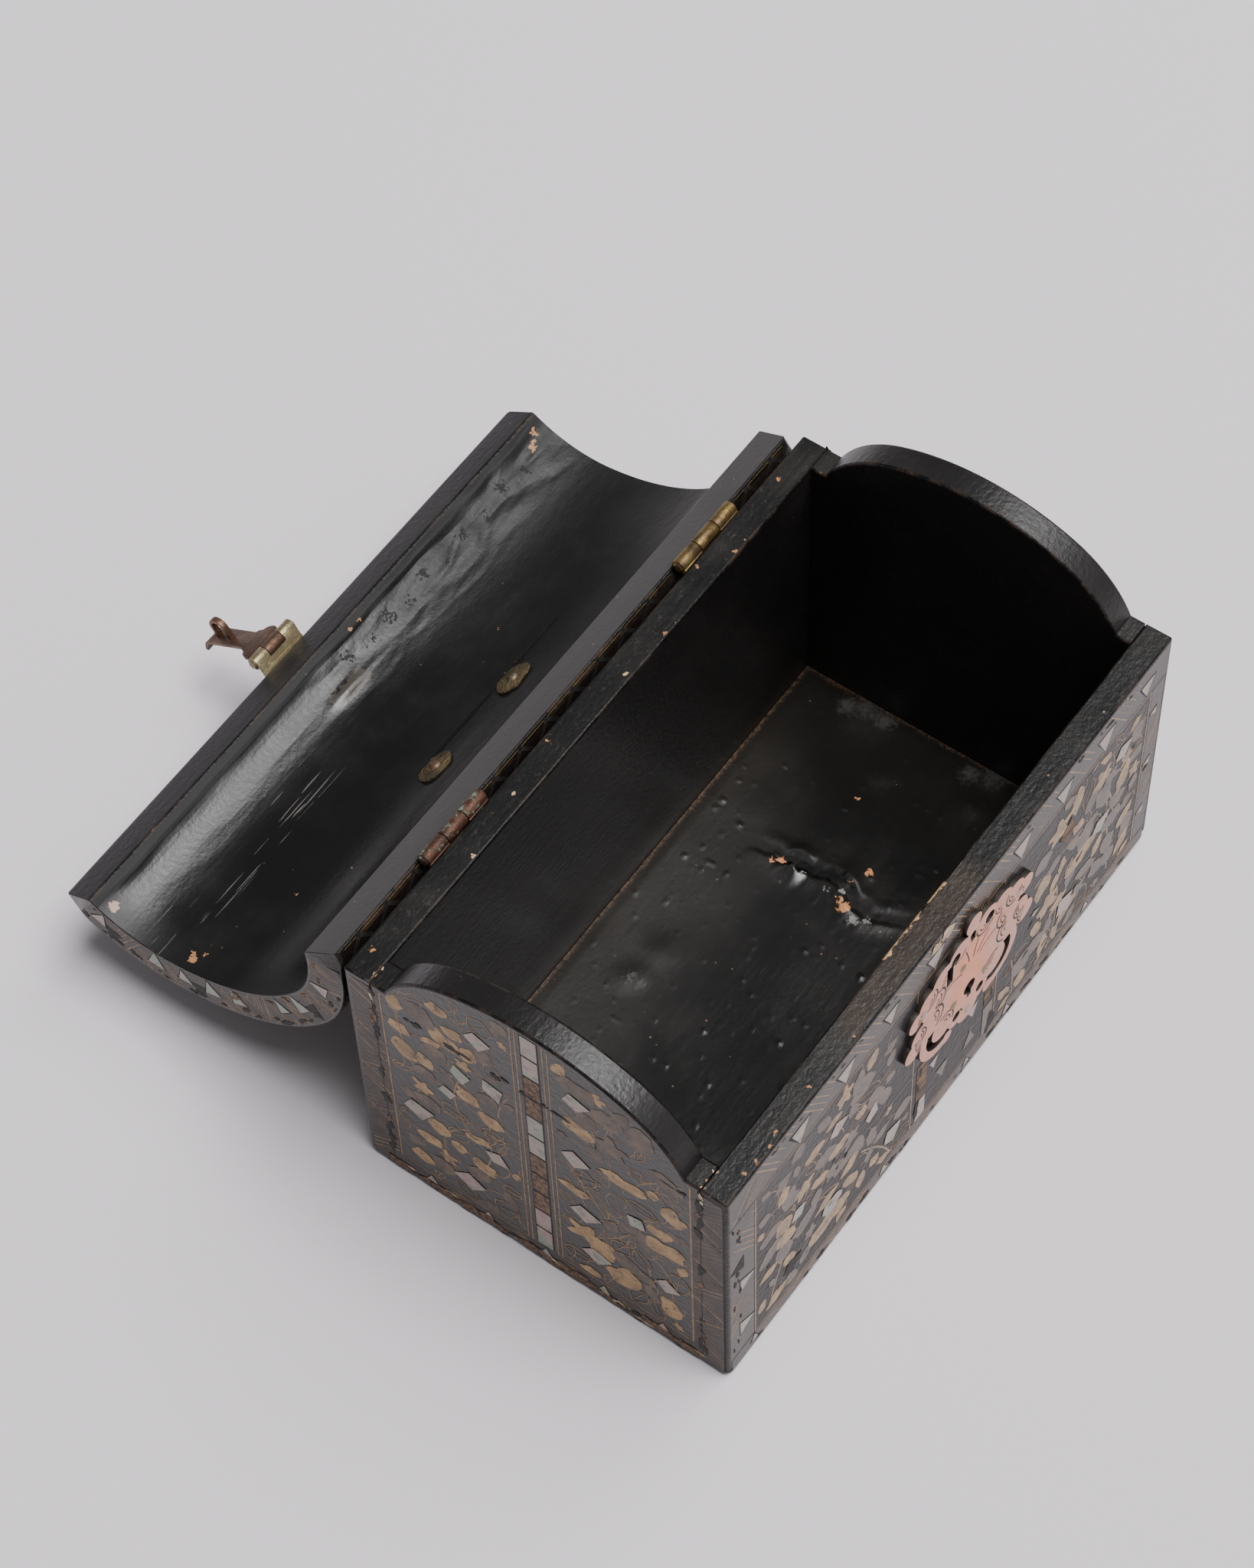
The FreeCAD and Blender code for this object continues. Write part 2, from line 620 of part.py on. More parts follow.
# Lock
PLATE_LOBES = (
    (0.0, -1.0, 17.5),
    (7.0, 17.8, 5.8),
    (15.2, 15.6, 5.6),
    (22.2, 12.4, 5.0),
    (28.2, 9.2, 4.0),
    (9.0, 9.0, 11.0),
    (19.0, 8.6, 7.0),
    (20.0, -1.8, 7.6),
    (25.6, -1.2, 4.8),
    (29.0, -6.6, 4.4),
    (0.0, 21.6, 3.0),
    (0.0, 25.6, 3.9),
    (13.0, -13.0, 6.2),
    (10.8, -23.8, 2.5),
    (5.8, -18.4, 4.6),
    (0.0, -21.8, 5.4),
)
PLATE_HOLES = (
    (8.8, 17.5, 2.3),
    (0.0, 19.6, 1.5),
    (6.2, -18.2, 1.9),
)
TENDRIL_PLACE = (13.0, -13.0)
TENDRIL_OUTSIDE = 12.6
TENDRIL_INSIDE = 9.2
TENDRIL_START_ANGLE = 60.0
TENDRIL_END_ANGLE = 190.0
TENDRIL_STEPS = 6
PLATE_NAIL_PLACES = ((25.0, 9.0), (27.0, -4.6), (0.0, -22.6))
CASE_RIVET_PLACES = ((-4.5, 16.4), (-8.3, 0.8), (8.1, -1.0))


def on_plate(u, w, y):
    return Vector(PLATE_X + u, y, PLATE_Z + w)


def both_sides(u):
    return (u,) if u == 0 else (-u, u)


def tendril_sector(centre, side):
    """Prism over the outer and lower part of a tendril's ring, angles from the top."""
    angles = spread(math.radians(TENDRIL_START_ANGLE), math.radians(TENDRIL_END_ANGLE), TENDRIL_STEPS)
    reach = 2 * TENDRIL_OUTSIDE
    rim = [centre + Vector(side * math.sin(angle), 0, math.cos(angle)) * reach for angle in angles]
    return flat([centre] + rim).extrude(Y_AXIS * -PLATE)


def lock_plate():
    """Leafy plate: overlapping lobes and two tendrils, pierced for the staple and the key."""
    lobes = []
    for u, w, radius in PLATE_LOBES:
        for side in both_sides(u):
            lobes.append(lobe(radius, PLATE, on_plate(side, w, FRONT), Y_AXIS * -1))
    tendrils = []
    for side in (-1, 1):
        centre = on_plate(side * TENDRIL_PLACE[0], TENDRIL_PLACE[1], FRONT)
        outside = lobe(TENDRIL_OUTSIDE, PLATE, centre, Y_AXIS * -1)
        inside = lobe(TENDRIL_INSIDE, PLATE, centre, Y_AXIS * -1)
        tendrils.append(outside.cut(inside).common(tendril_sector(centre, side)))
    plate = joined(*lobes, *tendrils)
    through = 2 * PLATE
    holes = []
    for u, w, radius in PLATE_HOLES:
        for side in both_sides(u):
            holes.append(lobe(radius, through, on_plate(side, w, FRONT), Y_AXIS * -1))
    y0 = FRONT - through
    slot_half = STAPLE_THICK / 2 + SLOT_SIDE
    slot_low = BOLT_Z - STAPLE_WIDTH / 2 - SLOT_BELOW
    slot_high = BOLT_Z + STAPLE_WIDTH / 2 + SLOT_ABOVE
    holes.append(box(HASP_X - slot_half, HASP_X + slot_half, y0, FRONT, slot_low, slot_high))
    holes.append(rod(KEYHOLE_RADIUS, through, Vector(KEY_X, FRONT, KEY_Z), Y_AXIS * -1))
    key_half = KEYHOLE_SLOT / 2
    holes.append(box(KEY_X - key_half, KEY_X + key_half, y0, FRONT, KEY_Z - KEYHOLE_TAIL, KEY_Z))
    return plate.cut(holes)


def plate_nail_places():
    places = [(side, w) for u, w in PLATE_NAIL_PLACES for side in both_sides(u)]
    return [(on_plate(u, w, FRONT - PLATE), Y_AXIS) for u, w in places]


def case_rivet_places():
    """Rivets round the keyhole that hold the plate to the case."""
    return [(Vector(KEY_X + u, FRONT - PLATE, KEY_Z + w), Y_AXIS) for u, w in CASE_RIVET_PLACES]


def lock_case():
    """Shallow tray in the front board, with the bolt's guide and rail on its floor."""
    outside = box(CASE_X0, CASE_X1, FRONT, CASE_BACK, CASE_Z0, CASE_Z1)
    inside = box(CASE_X0 + CASE_WALL, CASE_X1 - CASE_WALL, FRONT, CASE_FLOOR,
                 CASE_Z0 + CASE_WALL, CASE_Z1 - CASE_WALL)
    guide_x = HASP_X + GUIDE_FROM_STAPLE
    reach = BOLT_HEIGHT / 2 + BOLT_FIT + GUIDE_WALL
    guide = box(guide_x, guide_x + GUIDE_LENGTH, FRONT, CASE_FLOOR, BOLT_Z - reach, BOLT_Z + reach)
    rail = box(guide_x, CASE_X1 - CASE_WALL, BOLT_Y + BOLT_THICK / 2 + BOLT_FIT, CASE_FLOOR,
               BOLT_Z - BOLT_HEIGHT / 2, BOLT_Z + BOLT_HEIGHT / 2)
    bore = bolt_bar(-LENGTH, LENGTH, BOLT_FIT)
    lugs = [bar(4, LUG_SIDE, LUG_SIDE, CASE_DEPTH - CASE_WALL, Vector(point.x, FRONT, point.z), Y_AXIS)
            for point, inward in case_rivet_places()]
    return joined(outside.cut(inside), guide, rail, *lugs).cut(bore.common(inside))


def bolt_bar(x0, x1, fit):
    half = BOLT_THICK / 2 + fit
    height = BOLT_HEIGHT / 2 + fit
    return box(x0, x1, BOLT_Y - half, BOLT_Y + half, BOLT_Z - height, BOLT_Z + height)


def lock_bolt():
    """Drawn bolt: a bar with a tail that the key pushes."""
    tip = HASP_X + BOLT_START
    end = tip + BOLT_LENGTH
    foot = BOLT_Z - TAIL_DROP
    half = TAIL_THICK / 2
    tail = box(end - TAIL_WIDTH, end, BOLT_Y - half, BOLT_Y + half, foot, BOLT_Z)
    place = Vector(end - TAIL_WIDTH / 2, BOLT_Y - TAIL_THICK, foot - TALON / 3)
    notch = rod(TALON, 2 * TAIL_THICK, place, Y_AXIS)
    return joined(bolt_bar(tip, end, 0), tail).cut(notch)


def bolt_spring():
    """Bowed strip between the top of the case and the bolt."""
    x = HASP_X + SPRING_FROM_STAPLE
    top = CASE_Z1 - CASE_WALL
    low = BOLT_Z + BOLT_HEIGHT / 2 + BOLT_FIT
    half = SPRING_SPAN / 2
    y0 = BOLT_Y - SPRING_WIDTH / 2

    def bow(bottom, reach):
        ends = Vector(x - reach, y0, top), Vector(x + reach, y0, top)
        return Part.Arc(ends[0], Vector(x, y0, bottom), ends[1]).toShape(), ends

    lower, lower_ends = bow(low, half)
    upper, upper_ends = bow(low + SPRING_THICK, half - SPRING_THICK)
    left = Part.makeLine(lower_ends[0], upper_ends[0])
    right = Part.makeLine(lower_ends[1], upper_ends[1])
    face = Part.Face(Part.Wire(Part.__sortEdges__([lower, right, upper, left])))
    return face.extrude(Vector(0, SPRING_WIDTH, 0))


def key_post():
    across = 2 * KEY_POST_RADIUS
    length = CASE_FLOOR - FRONT + PLATE / 2
    return bar(KEY_POST_FLAT_COUNT, across, across, length, Vector(KEY_X, CASE_FLOOR, KEY_Z), Y_AXIS * -1)


# Handle
def handle_x(side):
    return HANDLE_X + side * HANDLE_SPACING / 2


def handle_post(side):
    """Eye on a square shank through the ridge, its end riveted under the clench plate."""
    x = handle_x(side)
    start = Vector(x - EYE_THICK / 2, 0, EYE_Z)
    eye = rod(EYE_HOLE + EYE_RING, EYE_THICK, start, X_AXIS)
    foot = Vector(x, 0, CLENCH_UNDER)
    shank = bar(4, POST_SIDE, POST_SIDE, EYE_Z - EYE_HOLE - CLENCH_UNDER, foot, Z_AXIS)
    rivet = bar(POST_RIVET_FLAT_COUNT, 2 * POST_RIVET, POST_SIDE, CLENCH_THICK, foot, Z_AXIS * -1)
    return joined(eye, shank, rivet).cut(rod(EYE_HOLE, EYE_THICK, start, X_AXIS))


def post_hole(side):
    across = POST_SIDE + 2 * POST_FIT
    length = CROWN_OUTSIDE + ROSETTE - CLENCH_UNDER
    return bar(4, across, across, length, Vector(handle_x(side), 0, CLENCH_UNDER), Z_AXIS)


def clench_plate(side):
    """Oval plate inside the lid, bearing on the vault along its two long edges."""
    x = handle_x(side)
    half = CLENCH_WIDTH / 2
    straight = CLENCH_LENGTH / 2 - half
    middle = box(x - straight, x + straight, -half, half, CLENCH_UNDER, CLENCH_TOP)
    ends = [rod(half, CLENCH_THICK, Vector(x + end * straight, 0, CLENCH_UNDER), Z_AXIS) for end in (-1, 1)]
    return joined(middle, *ends).cut(post_hole(side))


def rosette(side):
    """Petalled washer under the eye."""
    x = handle_x(side)
    discs = [lobe(ROSETTE_RADIUS, ROSETTE, Vector(x, 0, CROWN_OUTSIDE), Z_AXIS)]
    for petal in range(ROSETTE_PETALS):
        angle = 2 * math.pi * petal / ROSETTE_PETALS
        place = Vector(x + ROSETTE_RADIUS * math.cos(angle), ROSETTE_RADIUS * math.sin(angle), CROWN_OUTSIDE)
        discs.append(lobe(PETAL_RADIUS, ROSETTE, place, Z_AXIS))
    return joined(*discs).cut(post_hole(side))


def bail_ring(place, along):
    """Corners of the bail's section across a direction in its own plane."""
    across = Vector(along.z, 0, -along.x)
    corners = []
    for step in range(BAIL_FLAT_COUNT):
        angle = 2 * math.pi * step / BAIL_FLAT_COUNT
        corners.append(place + (across * math.cos(angle) + Y_AXIS * math.sin(angle)) * BAIL_RADIUS)
    return corners


def handle_bail():
    """Drop handle hanging from the eyes of the open lid: straight runs and quarter bends."""
    pivot = lid_open(Part.Vertex(HANDLE_X, 0, EYE_Z)).Point
    half = HANDLE_SPACING / 2
    outer = half + BAIL_OVERHANG
    stub = half - EYE_THICK / 2 - BAIL_RADIUS
    corners = [(-outer, 0.0, BAIL_BEND), (-outer, -BAIL_DROP, BAIL_CORNER),
               (outer, -BAIL_DROP, BAIL_CORNER), (outer, 0.0, BAIL_BEND)]
    points = [pivot + Vector(u, 0, w) for u, w, bend in corners]
    points.append(pivot + Vector(stub, 0, 0))
    last = pivot - Vector(stub, 0, 0)
    rings = [bail_ring(last, (points[0] - last).normalize())]
    for index, (u, w, bend) in enumerate(corners):
        here = points[index]
        along = (here - last).normalize()
        onward = (points[index + 1] - here).normalize()
        centre = here + (onward - along) * bend
        for angle in spread(0, math.pi / 2, BEND_STEP_COUNT + 1):
            place = centre + (along * math.sin(angle) - onward * math.cos(angle)) * bend
            rings.append(bail_ring(place, along * math.cos(angle) + onward * math.sin(angle)))
        last = here
    rings.append(bail_ring(points[-1], onward))
    return tube(rings)


def save(name, shape):
    """One STEP file for a piece, or for a group of like pieces given as a list."""
    whole = Part.makeCompound(shape) if isinstance(shape, list) else shape
    whole.exportStep("parts/" + name + ".step")


os.makedirs("parts", exist_ok=True)
sides = {"left": -1, "right": 1}
hinge_places = {name: HINGE_CENTRE + side * (LENGTH / 2 - HINGE_INSET) for name, side in sides.items()}

wall_places = [place for x in hinge_places.values() for place in wall_nail_places(x)]
lid_places = [place for x in hinge_places.values() for place in lid_nail_places(x)]
wall_nails, wall_holes = nails(wall_places, NAIL_LENGTH)
lid_nails, lid_holes = nails(lid_places, NAIL_LENGTH)
hasp_nails, hasp_holes = nails(hasp_nail_places(), NAIL_LENGTH)
plate_nails, plate_holes = nails(plate_nail_places(), NAIL_LENGTH)
case_rivets, rivet_holes = nails(case_rivet_places(), RIVET_LENGTH)
corner_holes = corner_pegs(PEG_SIDE + 2 * PEG_FIT, CORNER_PEG_LENGTH + PEG_FIT)
bottom_holes = bottom_pegs(PEG_SIDE + 2 * PEG_FIT, BOTTOM_PEG_LENGTH + PEG_FIT)
peg_holes = corner_holes + bottom_holes
mortise = box(CASE_X0 - CASE_FIT, CASE_X1 + CASE_FIT, FRONT, CASE_BACK,
              CASE_Z0 - CASE_FIT, CASE_Z1 + CASE_FIT)

save("bottom_board", bottom_board().cut(bottom_holes))
save("front_board", long_board(-1).cut([mortise] + peg_holes + plate_holes))
save("back_board", long_board(1).cut(peg_holes + wall_holes))
save("left_end_board", end_board(-1).cut(peg_holes))
save("right_end_board", end_board(1).cut(peg_holes))
save("corner_pegs", corner_pegs(PEG_SIDE, CORNER_PEG_LENGTH))
save("bottom_pegs", bottom_pegs(PEG_SIDE, BOTTOM_PEG_LENGTH))

for name, x in hinge_places.items():
    save(name + "_hinge_wall_leaf", wall_leaf(x).cut(wall_holes))
    save(name + "_hinge_lid_leaf", lid_open(lid_leaf(x).cut(lid_holes)))
    save(name + "_hinge_pin", headed_pin(HINGE_Y, HINGE_Z, x, HINGE_WIDTH))
save("hinge_wall_nails", wall_nails)
save("hinge_lid_nails", [lid_open(solid) for solid in lid_nails])

post_holes = [post_hole(side) for side in sides.values()]
for name, stave in lid_staves(lid_holes + hasp_holes + post_holes).items():
    save(name, lid_open(stave))

save("hasp_lid_plate", lid_open(hasp_lid_plate().cut(hasp_holes)))
save("hasp_plate_nails", [lid_open(solid) for solid in hasp_nails])
save("hasp_pin", lid_open(headed_pin(HASP_Y, HASP_Z, HASP_X, HASP_BARREL)))
save("hasp_strap", hasp_rest(hasp_strap()))
save("hasp_staple", hasp_rest(hasp_staple()))

save("lock_plate", lock_plate().cut(plate_holes + rivet_holes))
save("lock_plate_nails", plate_nails)
save("lock_case", lock_case().cut(rivet_holes))
save("lock_case_rivets", case_rivets)
save("lock_bolt", lock_bolt())
save("bolt_spring", bolt_spring())
save("key_post", key_post())

for name, side in sides.items():
    save(name + "_handle_post", lid_open(handle_post(side)))
    save(name + "_handle_rosette", lid_open(rosette(side)))
    save(name + "_handle_clench_plate", lid_open(clench_plate(side)))
save("handle_bail", handle_bail())
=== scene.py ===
import json
import math
import random

import bmesh
import bpy
from mathutils import Matrix, Vector, noise
from mathutils.bvhtree import BVHTree


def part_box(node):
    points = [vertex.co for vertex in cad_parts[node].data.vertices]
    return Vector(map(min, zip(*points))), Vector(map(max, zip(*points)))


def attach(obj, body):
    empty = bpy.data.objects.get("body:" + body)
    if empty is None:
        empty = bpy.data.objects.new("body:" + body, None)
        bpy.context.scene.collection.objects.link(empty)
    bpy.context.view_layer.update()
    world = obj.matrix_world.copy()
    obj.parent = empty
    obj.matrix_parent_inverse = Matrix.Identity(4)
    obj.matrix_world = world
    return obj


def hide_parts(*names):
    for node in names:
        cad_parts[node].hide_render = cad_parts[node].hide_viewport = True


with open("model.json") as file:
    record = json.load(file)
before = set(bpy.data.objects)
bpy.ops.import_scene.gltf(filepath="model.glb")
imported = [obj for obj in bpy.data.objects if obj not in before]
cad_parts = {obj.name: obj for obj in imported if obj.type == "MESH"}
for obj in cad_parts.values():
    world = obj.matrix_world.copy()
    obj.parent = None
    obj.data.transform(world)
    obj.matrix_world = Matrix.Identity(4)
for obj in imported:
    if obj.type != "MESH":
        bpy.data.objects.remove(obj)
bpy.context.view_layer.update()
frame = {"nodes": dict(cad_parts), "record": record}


# Studio. A pale table under one broad soft light from high in front. A small soft box overhead is
# mirrored in the lid's lacquer, and weak ones fill in from the front and the left. The camera looks
# steeply down on the open coffer from its front left corner.
def add_node(tree, kind, inputs=None, **settings):
    """Shader node with its settings, and inputs that are values or sockets to link."""
    made = tree.nodes.new("ShaderNode" + kind)
    for name, value in settings.items():
        setattr(made, name, value)
    for name, value in (inputs or {}).items():
        feed(tree, made.inputs[name], value)
    return made


def feed(tree, socket, value):
    """Links a socket to another one, or sets its value."""
    if isinstance(value, bpy.types.NodeSocket):
        tree.links.new(value, socket)
    elif hasattr(socket.default_value, "__len__") and len(socket.default_value) == 4:
        socket.default_value = (*value[:3], 1.0)
    else:
        socket.default_value = value


def dressed(tree, node, **inputs):
    """Feeds a node's inputs by name, with _ for a space."""
    for name, value in inputs.items():
        feed(tree, node.inputs[name.replace("_", " ")], value)


def object_place(tree, stretch=(1, 1, 1)):
    place = add_node(tree, "TexCoord").outputs["Object"]
    return add_node(tree, "Mapping", {"Vector": place, "Scale": stretch}).outputs["Vector"]


def cloud(tree, place, size, detail=3.0, rough=0.55):
    """Soft random mask with patches of about the given size in metres."""
    made = add_node(tree, "TexNoise", {"Vector": place, "Scale": 1 / size, "Detail": detail, "Roughness": rough})
    return made.outputs["Fac"]


def blended(tree, mask, first, second):
    return add_node(tree, "Mix", {0: mask, 6: first, 7: second}, data_type="RGBA").outputs[2]


def new_finish(name, **constants):
    """Material with a shader whose constant sockets are set directly."""
    finish = bpy.data.materials.new(name)
    finish.use_nodes = True
    shader = finish.node_tree.nodes["Principled BSDF"]
    dressed(finish.node_tree, shader, **constants)
    return finish, finish.node_tree, shader


def new_mesh(name, bm, finishes):
    mesh = bpy.data.meshes.new(name)
    bm.to_mesh(mesh)
    bm.free()
    for finish in finishes:
        mesh.materials.append(finish)
    return mesh


def set_up(name, data, place=Matrix()):
    """Object in the scene for a mesh, a lamp or a camera."""
    made = bpy.data.objects.new(name, data)
    made.matrix_world = place
    bpy.context.scene.collection.objects.link(made)
    return made


def turned_from(away):
    """Turn of a lamp that shines against the given direction."""
    return away.normalized().to_track_quat("Z", "Y").to_matrix().to_4x4()


table_finish, tree, shader = new_finish("pale_table", Roughness=0.9)
shade = cloud(tree, object_place(tree), 0.6)
dressed(tree, shader, Base_Color=blended(tree, shade, (0.81, 0.775, 0.815), (0.83, 0.795, 0.835)))
bm = bmesh.new()
bmesh.ops.create_grid(bm, x_segments=1, y_segments=1, size=15.0, matrix=Matrix.Translation((0, 0, -0.0004)))
set_up("table", new_mesh("table", bm, [table_finish]))

WARM_WHITE = (1.0, 0.985, 0.985)
for name, place, target, width, height, power, tint in (
        ("overhead_light", (0.68, -0.13, 1.50), (0.0, 0.10, 0.05), 0.55, 0.90, 8.5, (1.0, 0.99, 0.98)),
        ("front_light", (0.50, -1.80, 1.45), (0.0, 0.05, 0.05), 2.2, 1.5, 6.0, WARM_WHITE),
        ("left_light", (-2.00, -0.20, 1.40), (0.0, 0.05, 0.05), 1.6, 1.6, 0.3, (0.98, 0.985, 1.0))):
    lamp = bpy.data.lights.new(name, "AREA")
    lamp.shape = "RECTANGLE"
    lamp.size, lamp.size_y = width, height
    lamp.energy = power
    lamp.color = tint
    set_up(name, lamp, Matrix.Translation(place) @ turned_from(Vector(place) - Vector(target)))
lamp = bpy.data.lights.new("high_light", "SUN")
lamp.energy = 3.42
lamp.angle = math.radians(32)
lamp.color = WARM_WHITE
set_up("high_light", lamp, turned_from(Vector((0.10, -0.53, 1.70))))
world = bpy.data.worlds.new("studio")
world.use_nodes = True
dressed(world.node_tree, world.node_tree.nodes["Background"], Color=(0.97, 0.96, 1.0), Strength=0.17)
bpy.context.scene.world = world

lens = bpy.data.cameras.new("photo_camera")
lens.lens = 95.80
lens.sensor_width = 36.0
lens.clip_start = 0.05
right = Vector((0.58391614, -0.81142914, -0.02499367))
up = Vector((0.68963917, 0.47956101, 0.54260396))
back = Vector((-0.42829868, -0.33407182, 0.83961673))
stand = Matrix.Translation((-0.52820312, -0.36165981, 1.10656840))
bpy.context.scene.camera = set_up("photo_camera", lens, stand @ Matrix((right, up, back)).transposed().to_4x4())


# Bottom board. Thin softwood board pegged under the walls. Inside, it carries the floor's lacquer,
# which has lifted into blisters and split near the middle, with tan dust along its edges.
LENGTH = 0.226
DEPTH = 0.130
RIM = 0.108
WALL = 0.009
END_WALL = 0.0092
FLOOR = 0.0042


def threshold(tree, value, low, high):
    """Smooth step from 0 at low to 1 at high; low may be the larger one."""
    return add_node(tree, "MapRange", {"Value": value, "From Min": low, "From Max": high},
                    interpolation_type="SMOOTHSTEP").outputs["Result"]


def arithmetic(tree, operation, first, second):
    return add_node(tree, "Math", {0: first, 1: second}, operation=operation).outputs[0]


def times(tree, first, second):
    return arithmetic(tree, "MULTIPLY", first, second)


def added(tree, base, extra, share):
    return arithmetic(tree, "ADD", base, times(tree, extra, share))


def new_group(name, colours, values, results):
    """Node group with colour and value inputs; of its results, Color is a colour."""
    group = bpy.data.node_groups.new(name, "ShaderNodeTree")
    for socket in (*colours, *values):
        kind = "NodeSocketColor" if socket in colours else "NodeSocketFloat"
        group.interface.new_socket(socket, in_out="INPUT", socket_type=kind)
    for socket in results:
        kind = "NodeSocketColor" if socket == "Color" else "NodeSocketFloat"
        group.interface.new_socket(socket, in_out="OUTPUT", socket_type=kind)
    return group, group.nodes.new("NodeGroupInput").outputs, group.nodes.new("NodeGroupOutput")


def lacquer_group():
    """Old lacquer: cloudy haze, brushed streaks along the length, fine pitting and dust specks."""
    group, given, result = new_group("aged_lacquer", ("Ground", "Haze", "Speck"),
                                     ("Haze Amount", "Speck Amount", "Roughness"), ("Color", "Roughness", "Height"))
    place = object_place(group)
    patches = cloud(group, place, 0.030, 6.0, 0.62)
    streaks = cloud(group, object_place(group, (0.06, 1, 1)), 0.0022)
    pits = cloud(group, place, 0.0016, 2.0)
    grains = add_node(group, "TexVoronoi", {"Vector": place, "Scale": 230.0}).outputs["Distance"]
    scatter = threshold(group, cloud(group, place, 0.012), 0.52, 0.66)
    speck = times(group, times(group, threshold(group, grains, 0.10, 0.05), scatter), given["Speck Amount"])
    mask = times(group, threshold(group, patches, 0.42, 0.72), given["Haze Amount"])
    # The third input of this node stays at its 0.5, so it gives streaks * 0.8 + 0.5.
    mask = times(group, mask, arithmetic(group, "MULTIPLY_ADD", streaks, 0.8))
    colour = blended(group, mask, given["Ground"], given["Haze"])
    shine = added(group, added(group, given["Roughness"], patches, 0.16), streaks, 0.08)
    relief = added(group, added(group, pits, streaks, 0.7), patches, 0.8)
    dressed(group, result, Color=blended(group, speck, colour, given["Speck"]), Roughness=shine, Height=relief)
    return group


aged_lacquer = lacquer_group()


def lacquer_coat(tree, ground, haze, haze_amount, roughness, speck, speck_amount):
    return add_node(tree, "Group", {"Ground": ground, "Haze": haze, "Speck": speck, "Haze Amount": haze_amount,
                                    "Speck Amount": speck_amount, "Roughness": roughness},
                    node_tree=aged_lacquer).outputs


def spotted(tree, spots, ragged=0.0016, core=0.7, grain=0.0014):
    """Mask of ragged spots, each given by its middle and its reach in metres."""
    def vector_math(operation, first, second):
        return add_node(tree, "VectorMath", {0: first, 1: second}, operation=operation).outputs

    place = object_place(tree)
    wobble = add_node(tree, "TexNoise", {"Vector": place, "Scale": 1 / grain, "Detail": 3.0}).outputs["Color"]
    shift = vector_math("SUBTRACT", wobble, (0.5, 0.5, 0.5))[0]
    moved = vector_math("ADD", place, vector_math("MULTIPLY", shift, (2 * ragged,) * 3)[0])[0]
    mask = 0.0
    for middle, reach in spots:
        away = vector_math("DISTANCE", moved, middle)["Value"]
        mask = arithmetic(tree, "MAXIMUM", threshold(tree, away, reach, reach * core), mask)
    return mask


def add_bump(tree, shader, height, depth):
    """Relief of a given depth in metres."""
    bump = add_node(tree, "Bump", {"Height": height, "Distance": depth, "Strength": 1.0})
    tree.links.new(bump.outputs["Normal"], shader.inputs["Normal"])


def lacquer(name, ground, haze, haze_amount, roughness, speck=(0.30, 0.20, 0.11), speck_amount=0.35,
            relief=0.00016, index=1.5):
    finish, tree, shader = new_finish(name, IOR=index)
    coat = lacquer_coat(tree, ground, haze, haze_amount, roughness, speck, speck_amount)
    dressed(tree, shader, Base_Color=coat["Color"], Roughness=coat["Roughness"])
    add_bump(tree, shader, coat["Height"], relief)
    return finish


def laid_over(finish, colour, mask_of):
    """Lays a colour over a finish, through a mask made in its node tree."""
    tree = finish.node_tree
    shader = tree.nodes["Principled BSDF"]
    under = shader.inputs["Base Color"].links[0].from_socket
    dressed(tree, shader, Base_Color=blended(tree, mask_of(tree), under, colour))


def chipped_line(tree):
    """Mask of lacquer chipped along the front rim's inner edge, behind the lock."""
    edge, first, last, width = -0.0562, -0.026, 0.006, 0.00042
    place = object_place(tree)
    parts = add_node(tree, "SeparateXYZ", {"Vector": place}).outputs
    away = arithmetic(tree, "ABSOLUTE", arithmetic(tree, "SUBTRACT", parts["Y"], edge), 0.0)
    ragged = arithmetic(tree, "SUBTRACT", cloud(tree, place, 0.0035, 4.0), 0.5)
    mask = threshold(tree, added(tree, away, ragged, 0.006), width, width * 0.5)
    for start, end in ((first, first + 0.001), (last, last - 0.001)):
        mask = times(tree, mask, threshold(tree, parts["X"], start, end))
    return mask


def on_rim(spots, reach):
    return [((x / 1000, y / 1000, RIM), reach) for x, y in spots]


inside_lacquer = lacquer("inside_lacquer", (0.0100, 0.0090, 0.0088), (0.019, 0.0165, 0.0155), 0.8, 0.24)
outside_lacquer = lacquer("outside_lacquer", (0.0125, 0.0090, 0.0078), (0.026, 0.0190, 0.0155), 0.8, 0.12,
                          speck_amount=0.12, index=1.34)

RUBBED_BROWN = (0.034, 0.022, 0.0150)
ORANGE_WOOD = (0.42, 0.20, 0.085)
CREAM_WOOD = (0.62, 0.42, 0.23)
CHIPPED_WOOD = (0.50, 0.30, 0.14)
rubbed_spots = on_rim([(-44, -61), (-33, -60), (-22, -61), (-11, -60), (0, -61), (8, -60)], 0.0105)
orange_chips = on_rim([(-102, -63), (-97, -63.5), (-91, -64), (-87, -63), (-50, -63.5), (-70, -62.5), (55, 63.5),
                       (66, 57), (30, 57.5), (-20, 63), (95, 62), (-104, 62)], 0.0008)
cream_chips = on_rim([(-112, -56.2), (-109.5, -56.2), (-106, -56.2), (-107, 56.2), (-110, 56.2), (-63, 57),
                      (-40, 60), (12, 58)], 0.0008)
rim_lacquer = lacquer("rim_lacquer", (0.0070, 0.0068, 0.0066), (0.020, 0.018, 0.0165), 0.9, 0.17,
                      (0.42, 0.29, 0.18), 0.9, 0.00012)
laid_over(rim_lacquer, RUBBED_BROWN, lambda tree: spotted(tree, rubbed_spots, 0.008, 0.1))
laid_over(rim_lacquer, ORANGE_WOOD, lambda tree: spotted(tree, orange_chips))
laid_over(rim_lacquer, CREAM_WOOD, lambda tree: spotted(tree, cream_chips, 0.0014))
